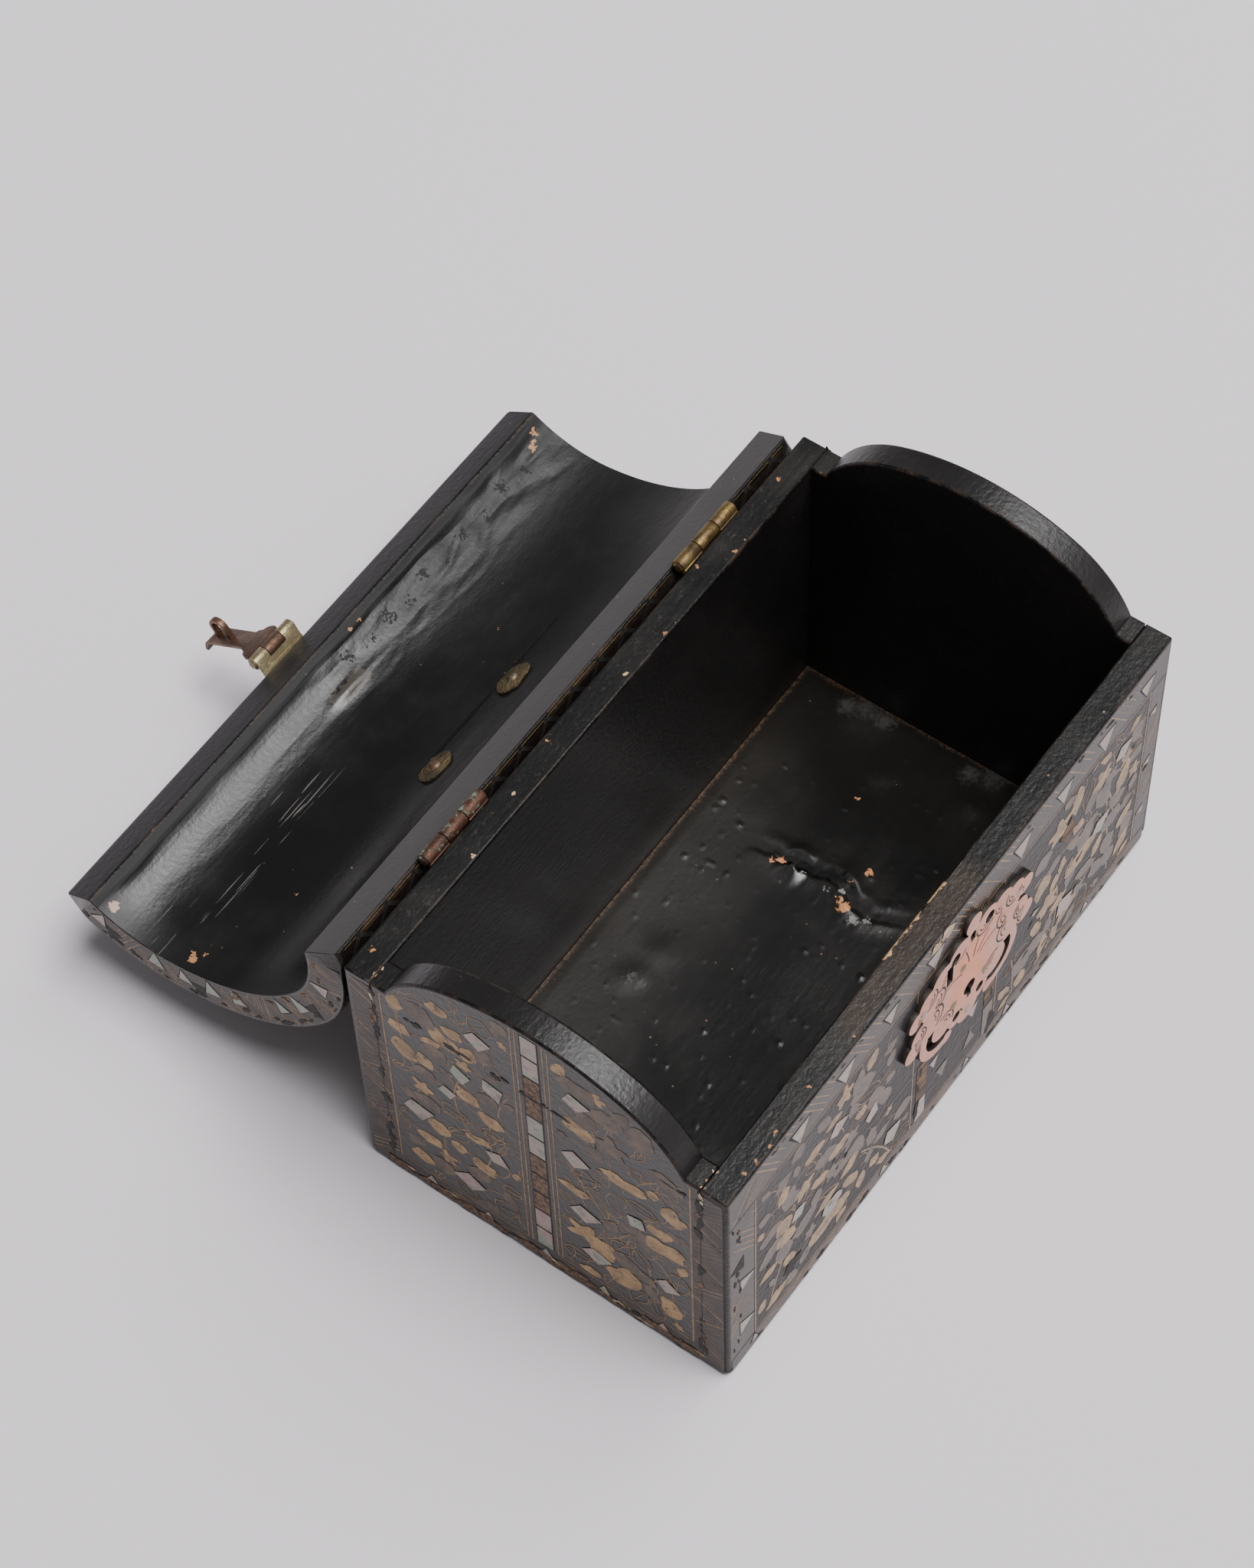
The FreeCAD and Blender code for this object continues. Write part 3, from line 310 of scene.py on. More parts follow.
laid_over(rim_lacquer, (0.046, 0.041, 0.036), lambda tree: times(
    tree, threshold(tree, cloud(tree, object_place(tree), 0.0030, 6.0, 0.72), 0.56, 0.68), 0.7))
laid_over(rim_lacquer, CHIPPED_WOOD, chipped_line)


def worn_edge():
    """Lacquer rubbed thin along an edge, in places down to brown ground and bare softwood."""
    finish, tree, shader = new_finish("worn_edge", IOR=1.3)
    rubbed = cloud(tree, object_place(tree, (0.5, 1, 1)), 0.006, 5.0, 0.65)
    colour = blended(tree, threshold(tree, rubbed, 0.47, 0.60), (0.006, 0.0056, 0.0052), (0.030, 0.021, 0.015))
    colour = blended(tree, threshold(tree, rubbed, 0.67, 0.73), colour, (0.22, 0.120, 0.060))
    colour = blended(tree, chipped_line(tree), colour, CHIPPED_WOOD)
    dressed(tree, shader, Base_Color=colour, Roughness=added(tree, 0.18, rubbed, 0.4))
    add_bump(tree, shader, cloud(tree, object_place(tree), 0.0011, 4.0), 0.00030)
    return finish


edge_lacquer = worn_edge()


def new_piece(name, bm, finishes, body, smooth=35.0):
    """Mesh object at the origin, riding on a body. An edge is sharp where it is steep or its finish changes."""
    for face in bm.faces:
        face.smooth = True
    for edge in bm.edges:
        finishes_met = {face.material_index for face in edge.link_faces}
        edge.smooth = len(finishes_met) == 1 and edge.calc_face_angle(0.0) < math.radians(smooth)
    made = set_up(name, new_mesh(name, bm, finishes))
    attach(made, body)
    return made


def rounded(bm, edges, offset, segments):
    bmesh.ops.bevel(bm, geom=edges, offset=offset, offset_type="OFFSET", segments=segments, profile=0.5,
                    affect="EDGES", material=-1, clamp_overlap=True, loop_slide=True)


def new_verts(made, key="geom"):
    return [part for part in made[key] if isinstance(part, bmesh.types.BMVert)]


def block(low, high):
    bm = bmesh.new()
    low, high = Vector(low), Vector(high)
    size = Matrix.Diagonal((*(high - low), 1.0))
    bmesh.ops.create_cube(bm, size=1.0, matrix=Matrix.Translation((low + high) / 2) @ size)
    return bm


OUTER, TOP, ROUNDED, INNER = range(4)
FLAT = 0.985
board_finishes = [outside_lacquer, rim_lacquer, edge_lacquer, inside_lacquer]


def coat_faces(bm, outward):
    """Outer faces, rims, rounded edges and inner faces get their own finish."""
    bm.normal_update()
    for face in bm.faces:
        if max(abs(part) for part in face.normal) < FLAT:
            face.material_index = ROUNDED
        else:
            face.material_index = OUTER if outward(face) else TOP if face.normal.z > 0.9 else INNER


bm = block((-LENGTH / 2, -DEPTH / 2, 0), (LENGTH / 2, DEPTH / 2, FLOOR))
rounded(bm, bm.edges[:], 0.0025, 5)
coat_faces(bm, lambda face: True)
bottom = new_piece("bottom_plank", bm, board_finishes, "coffer")
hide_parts("bottom_board", "bottom_pegs")

SPLIT = ((33.0, 36.6), (21.0, 38.0), (12.5, 38.8), (3.0, 40.4), (-4.0, 37.4), (-11.0, 35.0), (-17.0, 37.0),
         (-25.0, 40.6))
LIFTED = ((0.100, 0.031, 0.0080, 0.0014), (0.1015, -0.014, 0.0060, 0.0012), (0.083, 0.013, 0.0050, 0.0007),
          (0.0886, -0.016, 0.0050, 0.0008), (-0.022, 0.034, 0.0045, 0.0006), (-0.009, 0.031, 0.0060, 0.0005),
          (0.046, 0.000, 0.0045, 0.0006))


def waves(*place):
    return noise.noise(Vector(place))


def split_at(y):
    """Where the split runs at a depth, in metres; outside its ends nowhere."""
    for (first, x0), (second, x1) in zip(SPLIT, SPLIT[1:]):
        if second <= y * 1000 <= first:
            share = (y * 1000 - first) / (second - first)
            return (x0 + share * (x1 - x0)) / 1000 + 0.0012 * waves(y * 260, 0.0, 5.0)
    return None


def floor_relief(x, y):
    """Blisters and ripples of the floor's loose lacquer, and the lips curled up along its split."""
    swell = max(0.0, waves(x * 45, y * 45, 3.0)) * 0.00022
    ripple = waves(x * 60, y * 35, 7.0) * 0.00012
    pimple = max(0.0, waves(x * 420, y * 420, 1.0) - 0.50) * 0.0012
    blister = sum(high * math.exp(-((x - middle) ** 2 + (y - side) ** 2) / reach ** 2)
                  for middle, side, reach, high in LIFTED)
    split = split_at(y)
    lip = 0.0
    if split is not None:
        high = 0.0004 + 0.0016 * max(0.0, waves(y * 90, 0.0, 4.0)) + 0.0010 * math.exp(-((y + 0.002) / 0.006) ** 2)
        high *= min(1.0, (0.033 - y) / 0.008, (y + 0.025) / 0.008)
        if x < split:
            lip = high * math.exp(-((split - x) / 0.0042) ** 2)
        elif x > split + 0.0045:
            lip = 0.4 * high * math.exp(-((x - split - 0.0065) / 0.0020) ** 2)
    return 0.0003 + swell + ripple + pimple + blister + lip


floor_half = (LENGTH / 2 - END_WALL - 0.0002, DEPTH / 2 - WALL - 0.0002)
bm = bmesh.new()
bmesh.ops.create_grid(bm, x_segments=280, y_segments=150, size=1.0,
                      matrix=Matrix.Diagonal((floor_half[0], floor_half[1], 1.0, 1.0)))
for vert in bm.verts:
    edge = min(floor_half[0] - abs(vert.co.x), floor_half[1] - abs(vert.co.y))
    vert.co.z = FLOOR + max(0.00008, floor_relief(vert.co.x, vert.co.y) * min(1.0, edge / 0.004))
grown = bmesh.ops.extrude_edge_only(bm, edges=[edge for edge in bm.edges if edge.is_boundary])
for vert in new_verts(grown):
    vert.co.z = FLOOR - 0.0001
bmesh.ops.contextual_create(bm, geom=[edge for edge in bm.edges if edge.is_boundary])
bmesh.ops.recalc_face_normals(bm, faces=bm.faces)

# Marks on the floor, in millimetres: painted sheen, the black of the split, bare orange wood, painted highlights.
FLOOR_MARKS_AND_HIGHLIGHTS = (
    (0.004, 0.1, (0.080, 0.078, 0.074), ((100.4, 30.7, 6.0), (98.0, 36.0, 5.0), (100.1, 23.7, 5.0), (102.0, -16.5, 6.0),
                                         (98.4, -9.7, 4.5), (-22.3, 34.9, 2.5))),
    (0.003, 0.7, (0.0015, 0.0014, 0.0013), ((40.4, 13.5, 2.4), (41.4, 9.8, 2.8), (43.0, 6.0, 2.8), (43.6, 2.0, 2.6),
                                            (41.0, -2.5, 1.8), (38.0, 17.5, 1.4))),
    (0.0022, 0.7, (0.62, 0.285, 0.125), ((38.4, 21.0, 1.6), (36.6, 23.4, 0.9), (35.2, -4.7, 2.3), (36.9, -2.6, 1.6),
                                         (50.2, -4.2, 1.4), (43.9, -0.9, 0.8), (70.8, 14.2, 0.8), (82.6, 7.7, 0.8))),
    (0.0022, 0.6, (0.24, 0.235, 0.22), ((37.8, 12.8, 1.3), (39.3, -1.2, 1.2), (37.4, 3.6, 0.9), (33.0, -9.7, 1.8),
                                        (35.3, -12.9, 1.5))),
)


def floor_finish():
    """Inside lacquer, tan dust along the walls, bare wood where the split shed flakes, painted sheen and highlights."""
    finish, tree, shader = new_finish("floor_lacquer")
    coat = lacquer_coat(tree, (0.0080, 0.0077, 0.0073), (0.014, 0.0130, 0.012), 0.9, 0.10, (0.30, 0.19, 0.11), 0.6)
    place = object_place(tree)
    parts = add_node(tree, "SeparateXYZ", {"Vector": add_node(tree, "TexCoord").outputs["Object"]}).outputs
    across, along = (arithmetic(tree, "SUBTRACT", arithmetic(tree, "ABSOLUTE", parts[axis], 0.0), half)
                     for axis, half in zip("XY", floor_half))
    edge = added(tree, arithmetic(tree, "MAXIMUM", across, along), cloud(tree, place, 0.004, 5.0, 0.7), 0.004)
    grit = threshold(tree, cloud(tree, place, 0.0011), 0.34, 0.62)
    dust = times(tree, threshold(tree, edge, 0.0002, 0.0026), grit)
    # A faint lighter tone within 40 mm of the walls.
    drift = times(tree, threshold(tree, edge, -0.040, 0.0), 0.10)
    colour = blended(tree, drift, coat["Color"], (0.105, 0.088, 0.070))
    colour = blended(tree, dust, colour, (0.130, 0.080, 0.046))
    # The first row paints sheen on the blisters; the last paints highlights on the lips of the split.
    for ragged, core, shade, spots in FLOOR_MARKS_AND_HIGHLIGHTS:
        marks = [((x / 1000, y / 1000, FLOOR + 0.0006), reach / 1000) for x, y, reach in spots]
        colour = blended(tree, spotted(tree, marks, ragged, core), colour, shade)
    dressed(tree, shader, Base_Color=colour, Roughness=coat["Roughness"])
    add_bump(tree, shader, coat["Height"], 0.00004)
    return finish


new_piece("floor_lacquer", bm, [floor_finish()], "coffer", 60.0)


# Front and back boards. They run the whole length and take the corner pegs, which the lacquer
# covers. Their upright corners and rims are rubbed round. The front one is let in for the lock.
case_low, case_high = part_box("lock_case")
CASE_ROOM = 0.00015
RUBBED = 0.0007


def edges_where(bm, test):
    """The edges whose two ends pass a test."""
    return [edge for edge in bm.edges if all(test(vert.co) for vert in edge.verts)]


def near(value, target):
    return abs(value - target) < 1e-5


def pushed(bm, faces, way):
    """Pulls faces out along a way, leaving walls behind them."""
    grown = bmesh.ops.extrude_face_region(bm, geom=faces)
    bmesh.ops.translate(bm, verts=new_verts(grown), vec=way)


def upper_painted_reflection(tree):
    """Mask of a painted reflection of the pale table: lighter towards the top of the front, in patches."""
    height = add_node(tree, "SeparateXYZ", {"Vector": object_place(tree)}).outputs["Z"]
    drift = cloud(tree, object_place(tree), 0.05)
    return times(tree, threshold(tree, height, 0.030, 0.108), threshold(tree, drift, 0.25, 0.60))


front_lacquer = lacquer("front_lacquer", (0.0085, 0.0062, 0.0054), (0.018, 0.0132, 0.0108), 0.8, 0.10,
                        speck_amount=0.12, index=1.12)
# The front's ground is painted lighter and greyer towards the top, as a painted reflection of the table.
laid_over(front_lacquer, (0.052, 0.047, 0.049), upper_painted_reflection)

for side, name, node in ((-1, "front_plank", "front_board"), (1, "back_plank", "back_board")):
    outer = side * DEPTH / 2
    inner = side * (DEPTH / 2 - WALL)
    bm = block((-LENGTH / 2, min(outer, inner), FLOOR), (LENGTH / 2, max(outer, inner), RIM))

    def at_end(co):
        return near(abs(co.x), LENGTH / 2)

    chosen = [edge for edge in edges_where(bm, lambda co: near(co.y, outer) and (at_end(co) or near(co.z, RIM)))
              if not all(near(vert.co.z, FLOOR) for vert in edge.verts)]
    chosen += [edge for edge in edges_where(bm, lambda co: near(co.z, RIM) and at_end(co)) if edge not in chosen]
    rounded(bm, chosen, RUBBED, 3)
    rounded(bm, edges_where(bm, lambda co: near(co.y, inner) and co.z > RIM - 1e-5), RUBBED, 2)
    rounded(bm, edges_where(bm, lambda co: near(co.y, inner) and at_end(co)), 0.0004, 2)
    if side < 0:
        for point, room in ((case_low, -CASE_ROOM), (case_high, CASE_ROOM)):
            for axis in ((1, 0, 0), (0, 0, 1)):
                bmesh.ops.bisect_plane(bm, geom=bm.verts[:] + bm.edges[:] + bm.faces[:],
                                       plane_co=point + Vector(axis) * room, plane_no=axis)
        bm.normal_update()
        middles = {face: face.calc_center_median() for face in bm.faces if face.normal.y < -0.99}
        mouth = [face for face, middle in middles.items()
                 if case_low.x - 0.001 < middle.x < case_high.x + 0.001
                 and case_low.z - 0.001 < middle.z < case_high.z + 0.001]
        pushed(bm, mouth, (0, case_high.y + CASE_ROOM - outer, 0))
        bmesh.ops.delete(bm, geom=mouth, context="FACES")
    coat_faces(bm, lambda face: abs(face.calc_center_median().y - inner) > 0.001 and face.normal.z < 0.9)
    outside = front_lacquer if side < 0 else outside_lacquer
    plank = new_piece(name, bm, [outside] + board_finishes[1:], "coffer")
    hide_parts(node)
    if side < 0:
        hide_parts("corner_pegs")


# End boards. Each stands between the long boards and carries an arched top above the rim, cut to
# one flat crown arc between two tighter haunch arcs, on which the vaulted lid comes down.
ARCH_HALF = 0.051
JOIN = math.radians(23.6)
SPRING = math.radians(65.7)
CROWN_RADIUS = 0.07497
HAUNCH_RADIUS = 0.04106
CROWN_Z = 0.06003
HAUNCH_Y = 0.01358
HAUNCH_Z = 0.09110
END_RUBBED = 0.0008


def drawn_outline(bm, x, start, strokes):
    """Closed face across the coffer: straight strokes to (y, z), arcs about (y, z) by an angle."""
    here = bmesh.ops.create_vert(bm, co=(x, *start))["vert"][0]
    for stroke in strokes:
        if len(stroke) == 2:
            here = bmesh.ops.extrude_vert_indiv(bm, verts=[here])["verts"][0]
            here.co = (x, *stroke)
        else:
            y, z, angle, steps = stroke
            swept = bmesh.ops.spin(bm, geom=[here], cent=(x, y, z), axis=(1, 0, 0), angle=-angle, steps=steps)
            here = new_verts(swept, "geom_last")[0]
    bmesh.ops.remove_doubles(bm, verts=bm.verts, dist=1e-6)
    ends = [vert for vert in bm.verts if len(vert.link_edges) == 1]
    if len(ends) == 2:
        bmesh.ops.contextual_create(bm, geom=ends)
    return bmesh.ops.contextual_create(bm, geom=bm.edges[:])["faces"]


def arch_strokes(spring, steps):
    """The three arcs of the vault, from front to back."""
    haunch = spring - JOIN
    return [(-HAUNCH_Y, HAUNCH_Z, haunch, steps), (0.0, CROWN_Z, 2 * JOIN, 2 * steps),
            (HAUNCH_Y, HAUNCH_Z, haunch, steps)]


for side, node in ((-1, "left_end_board"), (1, "right_end_board")):
    bm = bmesh.new()
    outer = side * LENGTH / 2
    inner = side * (LENGTH / 2 - END_WALL)
    step = DEPTH / 2 - WALL
    face = drawn_outline(bm, outer, (-step, FLOOR), [(-step, RIM), (-ARCH_HALF, RIM)] + arch_strokes(SPRING, 14)
                         + [(step, RIM), (step, FLOOR)])
    pushed(bm, face, (inner - outer, 0, 0))
    bmesh.ops.recalc_face_normals(bm, faces=bm.faces)
    chosen = [edge for edge in edges_where(bm, lambda co: near(co.x, outer))
              if any(vert.co.z > FLOOR + 1e-4 for vert in edge.verts)]
    chosen += edges_where(bm, lambda co: near(co.x, inner) and co.z > RIM - 1e-5)
    rounded(bm, chosen, END_RUBBED, 3)
    bm.normal_update()
    for face in bm.faces:
        middle = face.calc_center_median()
        if abs(face.normal.x) > FLAT:
            face.material_index = OUTER if near(middle.x, outer) else INNER
        elif min(abs(middle.x - outer), abs(middle.x - inner)) < END_RUBBED:
            face.material_index = ROUNDED
        else:
            face.material_index = TOP if near(middle.z, RIM) else INNER
    end = new_piece(node.replace("board", "plank"), bm, board_finishes, "coffer", 30.0)
    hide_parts(node)


# Vaulted lid. Seven staves glued into one barrel vault and lacquered over, so that only the joint
# between the front rail and its neighbour shows, as a ridge of wrinkled lacquer on the inside.
LID_HALF = 0.112
LID_RIM = 0.1082
LID_IN = 0.001
LID_OUT = 0.014
CORNER = 0.0040
HINGE_LINE = Vector((0.0, 0.0676, 0.1081))
OPEN_TURN = Matrix.Rotation(math.radians(-212), 3, "X")
RAIL = math.radians(60.5)


def lid_open(bm):
    """Carries a mesh drawn on the shut lid to the lid lying open."""
    bmesh.ops.rotate(bm, verts=bm.verts, cent=HINGE_LINE, matrix=OPEN_TURN)


def eased_corner(x, y):
    """Draws a point of the shut lid in to the rounded corners of its rails."""
    past = min(abs(y) - (DEPTH / 2 - CORNER), 0.92 * CORNER)
    reach = abs(x) - (LID_HALF - CORNER)
    if past <= 0 or reach <= 0:
        return x
    return math.copysign(LID_HALF - CORNER + reach * math.sqrt(1 - (past / CORNER) ** 2), x)


def vault_offset(y, z):
    """How far a point lies outside the end boards' arch, and its angle from the vertical."""
    from_crown = math.atan2(abs(y), z - CROWN_Z)
    if from_crown <= JOIN:
        return math.hypot(y, z - CROWN_Z) - CROWN_RADIUS, from_crown
    out, rise = abs(y) - HAUNCH_Y, z - HAUNCH_Z
    return math.hypot(out, rise) - HAUNCH_RADIUS, math.atan2(out, rise)


def wrinkles(x, y, angle):
    """Inward relief of the lid's inner lacquer: slow waves, the proud edge of the front rail, and
    lacquer buckled over the joint beside it, worst towards the right."""
    slow = waves(x * 12, y * 30, 1.0) * 0.00015
    if y > 0 or angle < math.radians(24):
        return slow + waves(x * 30, y * 150, 2.0) * 0.00010
    lip_at = RAIL + 0.03 * waves(x * 60, 0.0, 9.0)
    lip = 0.00050 / (1.0 + math.exp(-(angle - lip_at) / 0.012))
    right = min(1.0, max(0.12, (x + 0.030) / 0.060))
    shut = min(1.0, max(0.0, (angle - math.radians(30)) / 0.22))
    fold = abs(waves(x * 40 + angle * 3, angle * 6.5 - x * 16, 3.0)) * 0.0011
    crease = waves(x * 150, angle * 16 - x * 60, 6.0) * 0.00022
    scab = 0.0010 * math.exp(-((x + 0.004) / 0.0075) ** 2 - ((angle - math.radians(44.5)) / 0.05) ** 2)
    return slow + lip + (fold + crease) * right * shut + scab


def inside_lid_at(x, degrees):
    """Point on the open lid's inner face, x in millimetres, degrees from the crown towards the front."""
    angle = math.radians(degrees)
    if abs(angle) <= JOIN:
        y, z, radius = 0.0, CROWN_Z, CROWN_RADIUS + LID_IN
    else:
        y, z, radius = math.copysign(HAUNCH_Y, degrees), HAUNCH_Z, HAUNCH_RADIUS + LID_IN
    shut = Vector((x / 1000, -y - radius * math.sin(angle), z + radius * math.cos(angle)))
    return OPEN_TURN @ (shut - HINGE_LINE) + HINGE_LINE


# Places inside the lid by length and angle, each with its reach in millimetres.
LID_CHIPS = ((-108, 18.5, 1.4), (-106, 19.5, 1.2), (-105, 17.0, 0.9), (107, 60, 1.5), (102, 56, 1.5), (104, 57, 0.9),
             (12, 61, 1.1), (16, 61, 0.7), (-60, -1, 0.5), (-74, 8, 0.5), (-88, 3, 0.4), (40, 16, 0.5))
LID_SCAB = tuple((x, 44.5, 3.5) for x in (-9, -5, -1, 2))
LID_PLUG = ((-108, 56.5, 1.9),)
LID_TEARS = ((4, 54, 2.2), (14, 51, 1.6), (24, 53, 2.6), (33, 50, 1.6), (43, 54, 2.4), (52, 50, 2.0), (62, 53, 2.2),
             (73, 50, 1.8), (84, 54, 2.6), (94, 51, 1.8))


def lid_inside_finish():
    """Inside lacquer with brush streaks, a crack between the clench plates, scratches and chips."""
    finish, tree, shader = new_finish("lid_inside_lacquer")
    coat = lacquer_coat(tree, (0.0050, 0.0048, 0.0047), (0.015, 0.0145, 0.014), 0.7, 0.16, (0.34, 0.21, 0.12), 0.30)
    flat = object_place(tree, (0, 1, 1))
    wander = cloud(tree, object_place(tree, (1, 0, 0)), 0.012)
    reach = add_node(tree, "SeparateXYZ", {"Vector": add_node(tree, "TexCoord").outputs["Object"]}).outputs["X"]

    def along_line(degrees, width, sway):
        """Mask of a wandering line along the length."""
        middle = inside_lid_at(0.0, degrees)
        away = add_node(tree, "VectorMath", {0: flat, 1: (0.0, middle.y, middle.z)}, operation="DISTANCE")
        away = added(tree, away.outputs["Value"], arithmetic(tree, "SUBTRACT", wander, 0.5), sway)
        return threshold(tree, away, width, width * 0.5)

    def lid_spots(spots, ragged):
        return spotted(tree, [(inside_lid_at(x, degrees), size / 1000) for x, degrees, size in spots], ragged)

    crack = times(tree, along_line(3.5, 0.0009, 0.004), threshold(tree, reach, -0.026, -0.016))
    crack = times(tree, crack, threshold(tree, reach, 0.060, 0.045))
    lines = cloud(tree, object_place(tree, (0.035, 1, 1)), 0.0011, 2.0)
    scratched = times(tree, threshold(tree, lines, 0.66, 0.70), along_line(29.0, 0.0085, 0.0))
    scratched = times(tree, scratched, threshold(tree, reach, -0.020, -0.050))
    colour = coat["Color"]
    for mask, shade in ((crack, (0.0012, 0.0011, 0.0010)), (scratched, (0.17, 0.16, 0.15)),
                        (lid_spots(LID_CHIPS, 0.0022), (0.44, 0.22, 0.10)),
                        (lid_spots(LID_SCAB, 0.003), (0.055, 0.048, 0.040)),
                        (lid_spots(LID_PLUG, 0.0018), (0.46, 0.30, 0.21))):
        colour = blended(tree, mask, colour, shade)
    dull = times(tree, threshold(tree, reach, -0.010, 0.050), 0.22)
    for mask, amount in ((along_line(63.6, 0.0030, 0.0), 0.40), (threshold(tree, reach, -0.098, -0.110), 0.18),
                         (lid_spots(LID_TEARS, 0.005), 0.45)):
        dull = arithmetic(tree, "MAXIMUM", dull, times(tree, mask, amount))
    dressed(tree, shader, Base_Color=colour, Roughness=arithmetic(tree, "ADD", coat["Roughness"], dull))
    height = arithmetic(tree, "SUBTRACT", coat["Height"], times(tree, crack, 2.0))
    crumpled = cloud(tree, object_place(tree, (0.6, 1, 1)), 0.0045, 5.0, 0.65)
    crumpled = times(tree, crumpled, threshold(tree, reach, -0.020, 0.040))
    height = added(tree, added(tree, height, crumpled, 4.5), scratched, 1.5)
    add_bump(tree, shader, height, 0.00006)
    return finish


inner_spring = math.acos((LID_RIM - HAUNCH_Z) / (HAUNCH_RADIUS + LID_IN))
outer_spring = math.asin((DEPTH / 2 - HAUNCH_Y) / (HAUNCH_RADIUS + LID_OUT))
inner_y = HAUNCH_Y + (HAUNCH_RADIUS + LID_IN) * math.sin(inner_spring)
outer_z = HAUNCH_Z + (HAUNCH_RADIUS + LID_OUT) * math.cos(outer_spring)
back_again = [(y, z, -angle, steps) for y, z, angle, steps in reversed(arch_strokes(outer_spring, 20))]
bm = bmesh.new()
face = drawn_outline(bm, -LID_HALF, (-inner_y, LID_RIM), arch_strokes(inner_spring, 20)
                     + [(DEPTH / 2, LID_RIM), (DEPTH / 2, outer_z)] + back_again + [(-DEPTH / 2, LID_RIM)])
pushed(bm, face, (2 * LID_HALF, 0, 0))
bmesh.ops.recalc_face_normals(bm, faces=bm.faces)
rounded(bm, edges_where(bm, lambda co: near(co.y, -DEPTH / 2) and near(co.z, LID_RIM)), 0.0019, 4)
rounded(bm, edges_where(bm, lambda co: near(co.y, DEPTH / 2) and near(co.z, LID_RIM)), RUBBED, 2)
rounded(bm, edges_where(bm, lambda co: near(abs(co.y), inner_y) and near(co.z, LID_RIM)), RUBBED, 2)
rounded(bm, edges_where(bm, lambda co: near(abs(co.x), LID_HALF)), 0.0010, 3)
long_edges = [edge for edge in bm.edges if edge.calc_length() > LID_HALF]
bmesh.ops.subdivide_edges(bm, edges=long_edges, cuts=128, use_grid_fill=True)
bm.normal_update()
FRONT_RIM = 4
inside_verts = set()
for face in bm.faces:
    middle = face.calc_center_median()
    distance, angle = vault_offset(middle.y, middle.z)
    if abs(abs(middle.x) - LID_HALF) < 0.00095 and abs(face.normal.x) < FLAT:
        face.material_index = ROUNDED
    elif abs(face.normal.x) > 0.9 or distance > LID_OUT - 0.0015 and middle.z > LID_RIM + 0.0019:
        face.material_index = OUTER
    elif distance < LID_IN + 0.0005 and middle.z > LID_RIM + 0.0008:
        face.material_index = INNER
        inside_verts.update(face.verts)
    elif face.normal.z > -0.97:
        face.material_index = ROUNDED
    else:
        face.material_index = FRONT_RIM if middle.y < 0 else TOP
for vert in inside_verts:
    distance, angle = vault_offset(vert.co.y, vert.co.z)
    room = min(1.0, (LID_HALF - abs(vert.co.x)) / 0.012, max(0.0, vert.co.z - LID_RIM - 0.0008) / 0.002)
    vert.co += vert.normal * wrinkles(vert.co.x, vert.co.y, angle) * room
bmesh.ops.triangulate(bm, faces=[face for face in bm.faces if len(face.verts) > 4])
for vert in bm.verts:
    vert.co.x = eased_corner(vert.co.x, vert.co.y)
lid_open(bm)
lid_rim_lacquer = lacquer("lid_rim_lacquer", (0.050, 0.046, 0.047), (0.062, 0.057, 0.058), 0.8, 0.42,
                          (0.40, 0.22, 0.11), 0.7)
lid_front_lacquer = lacquer("lid_front_rim_lacquer", (0.013, 0.012, 0.013), (0.020, 0.0185, 0.0195), 0.8, 0.36,
                            (0.40, 0.22, 0.11), 0.5)
vault = new_piece("lid_vault", bm, [outside_lacquer, lid_rim_lacquer, edge_lacquer, lid_inside_finish(),
                                    lid_front_lacquer], "lid", 45.0)
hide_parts("lid_front_rail", "lid_front_shoulder_stave", "lid_front_crown_stave", "lid_ridge_stave",
            "lid_back_crown_stave", "lid_back_shoulder_stave", "lid_back_rail")


# Painted and inlaid ornament of the outer faces. Leaves in sprinkled gold, some only drawn in
# outline, thin stems, hatched borders, and small pieces of shell let into the lacquer. Where a
# piece or a flake is lost the brown wood or the black ground shows.
GOLD, FADED, LINE, SHELL, LOST, HOLE, BAND, CREAM, ZIGZAG = range(9)
OUTLINE = -1
BAND_LEVEL = 0.00002
STEM_LEVEL = 0.00003
LINE_LEVEL = 0.00005
TILE_LEVEL = 0.00010


def gold_finish(name, bright, dull, rubbed):
    """Sprinkled gold: fine grains, thinned by wear so that the dark ground comes through."""
    finish, tree, shader = new_finish(name, Metallic=0.10, IOR=1.22)
    place = object_place(tree)
    tone = cloud(tree, place, 0.006, 4.0, 0.6)
    grain = cloud(tree, place, 0.00035, 2.0)
    colour = blended(tree, threshold(tree, tone, 0.35, 0.65), dull, bright)
    worn = threshold(tree, added(tree, cloud(tree, place, 0.0026, 5.0, 0.7), grain, 0.25), 0.66, 0.78)
    colour = blended(tree, times(tree, worn, rubbed), colour, (0.022, 0.018, 0.016))
    dressed(tree, shader, Base_Color=colour, Roughness=added(tree, 0.14, grain, 0.22))
    add_bump(tree, shader, grain, 0.00003)
    return finish


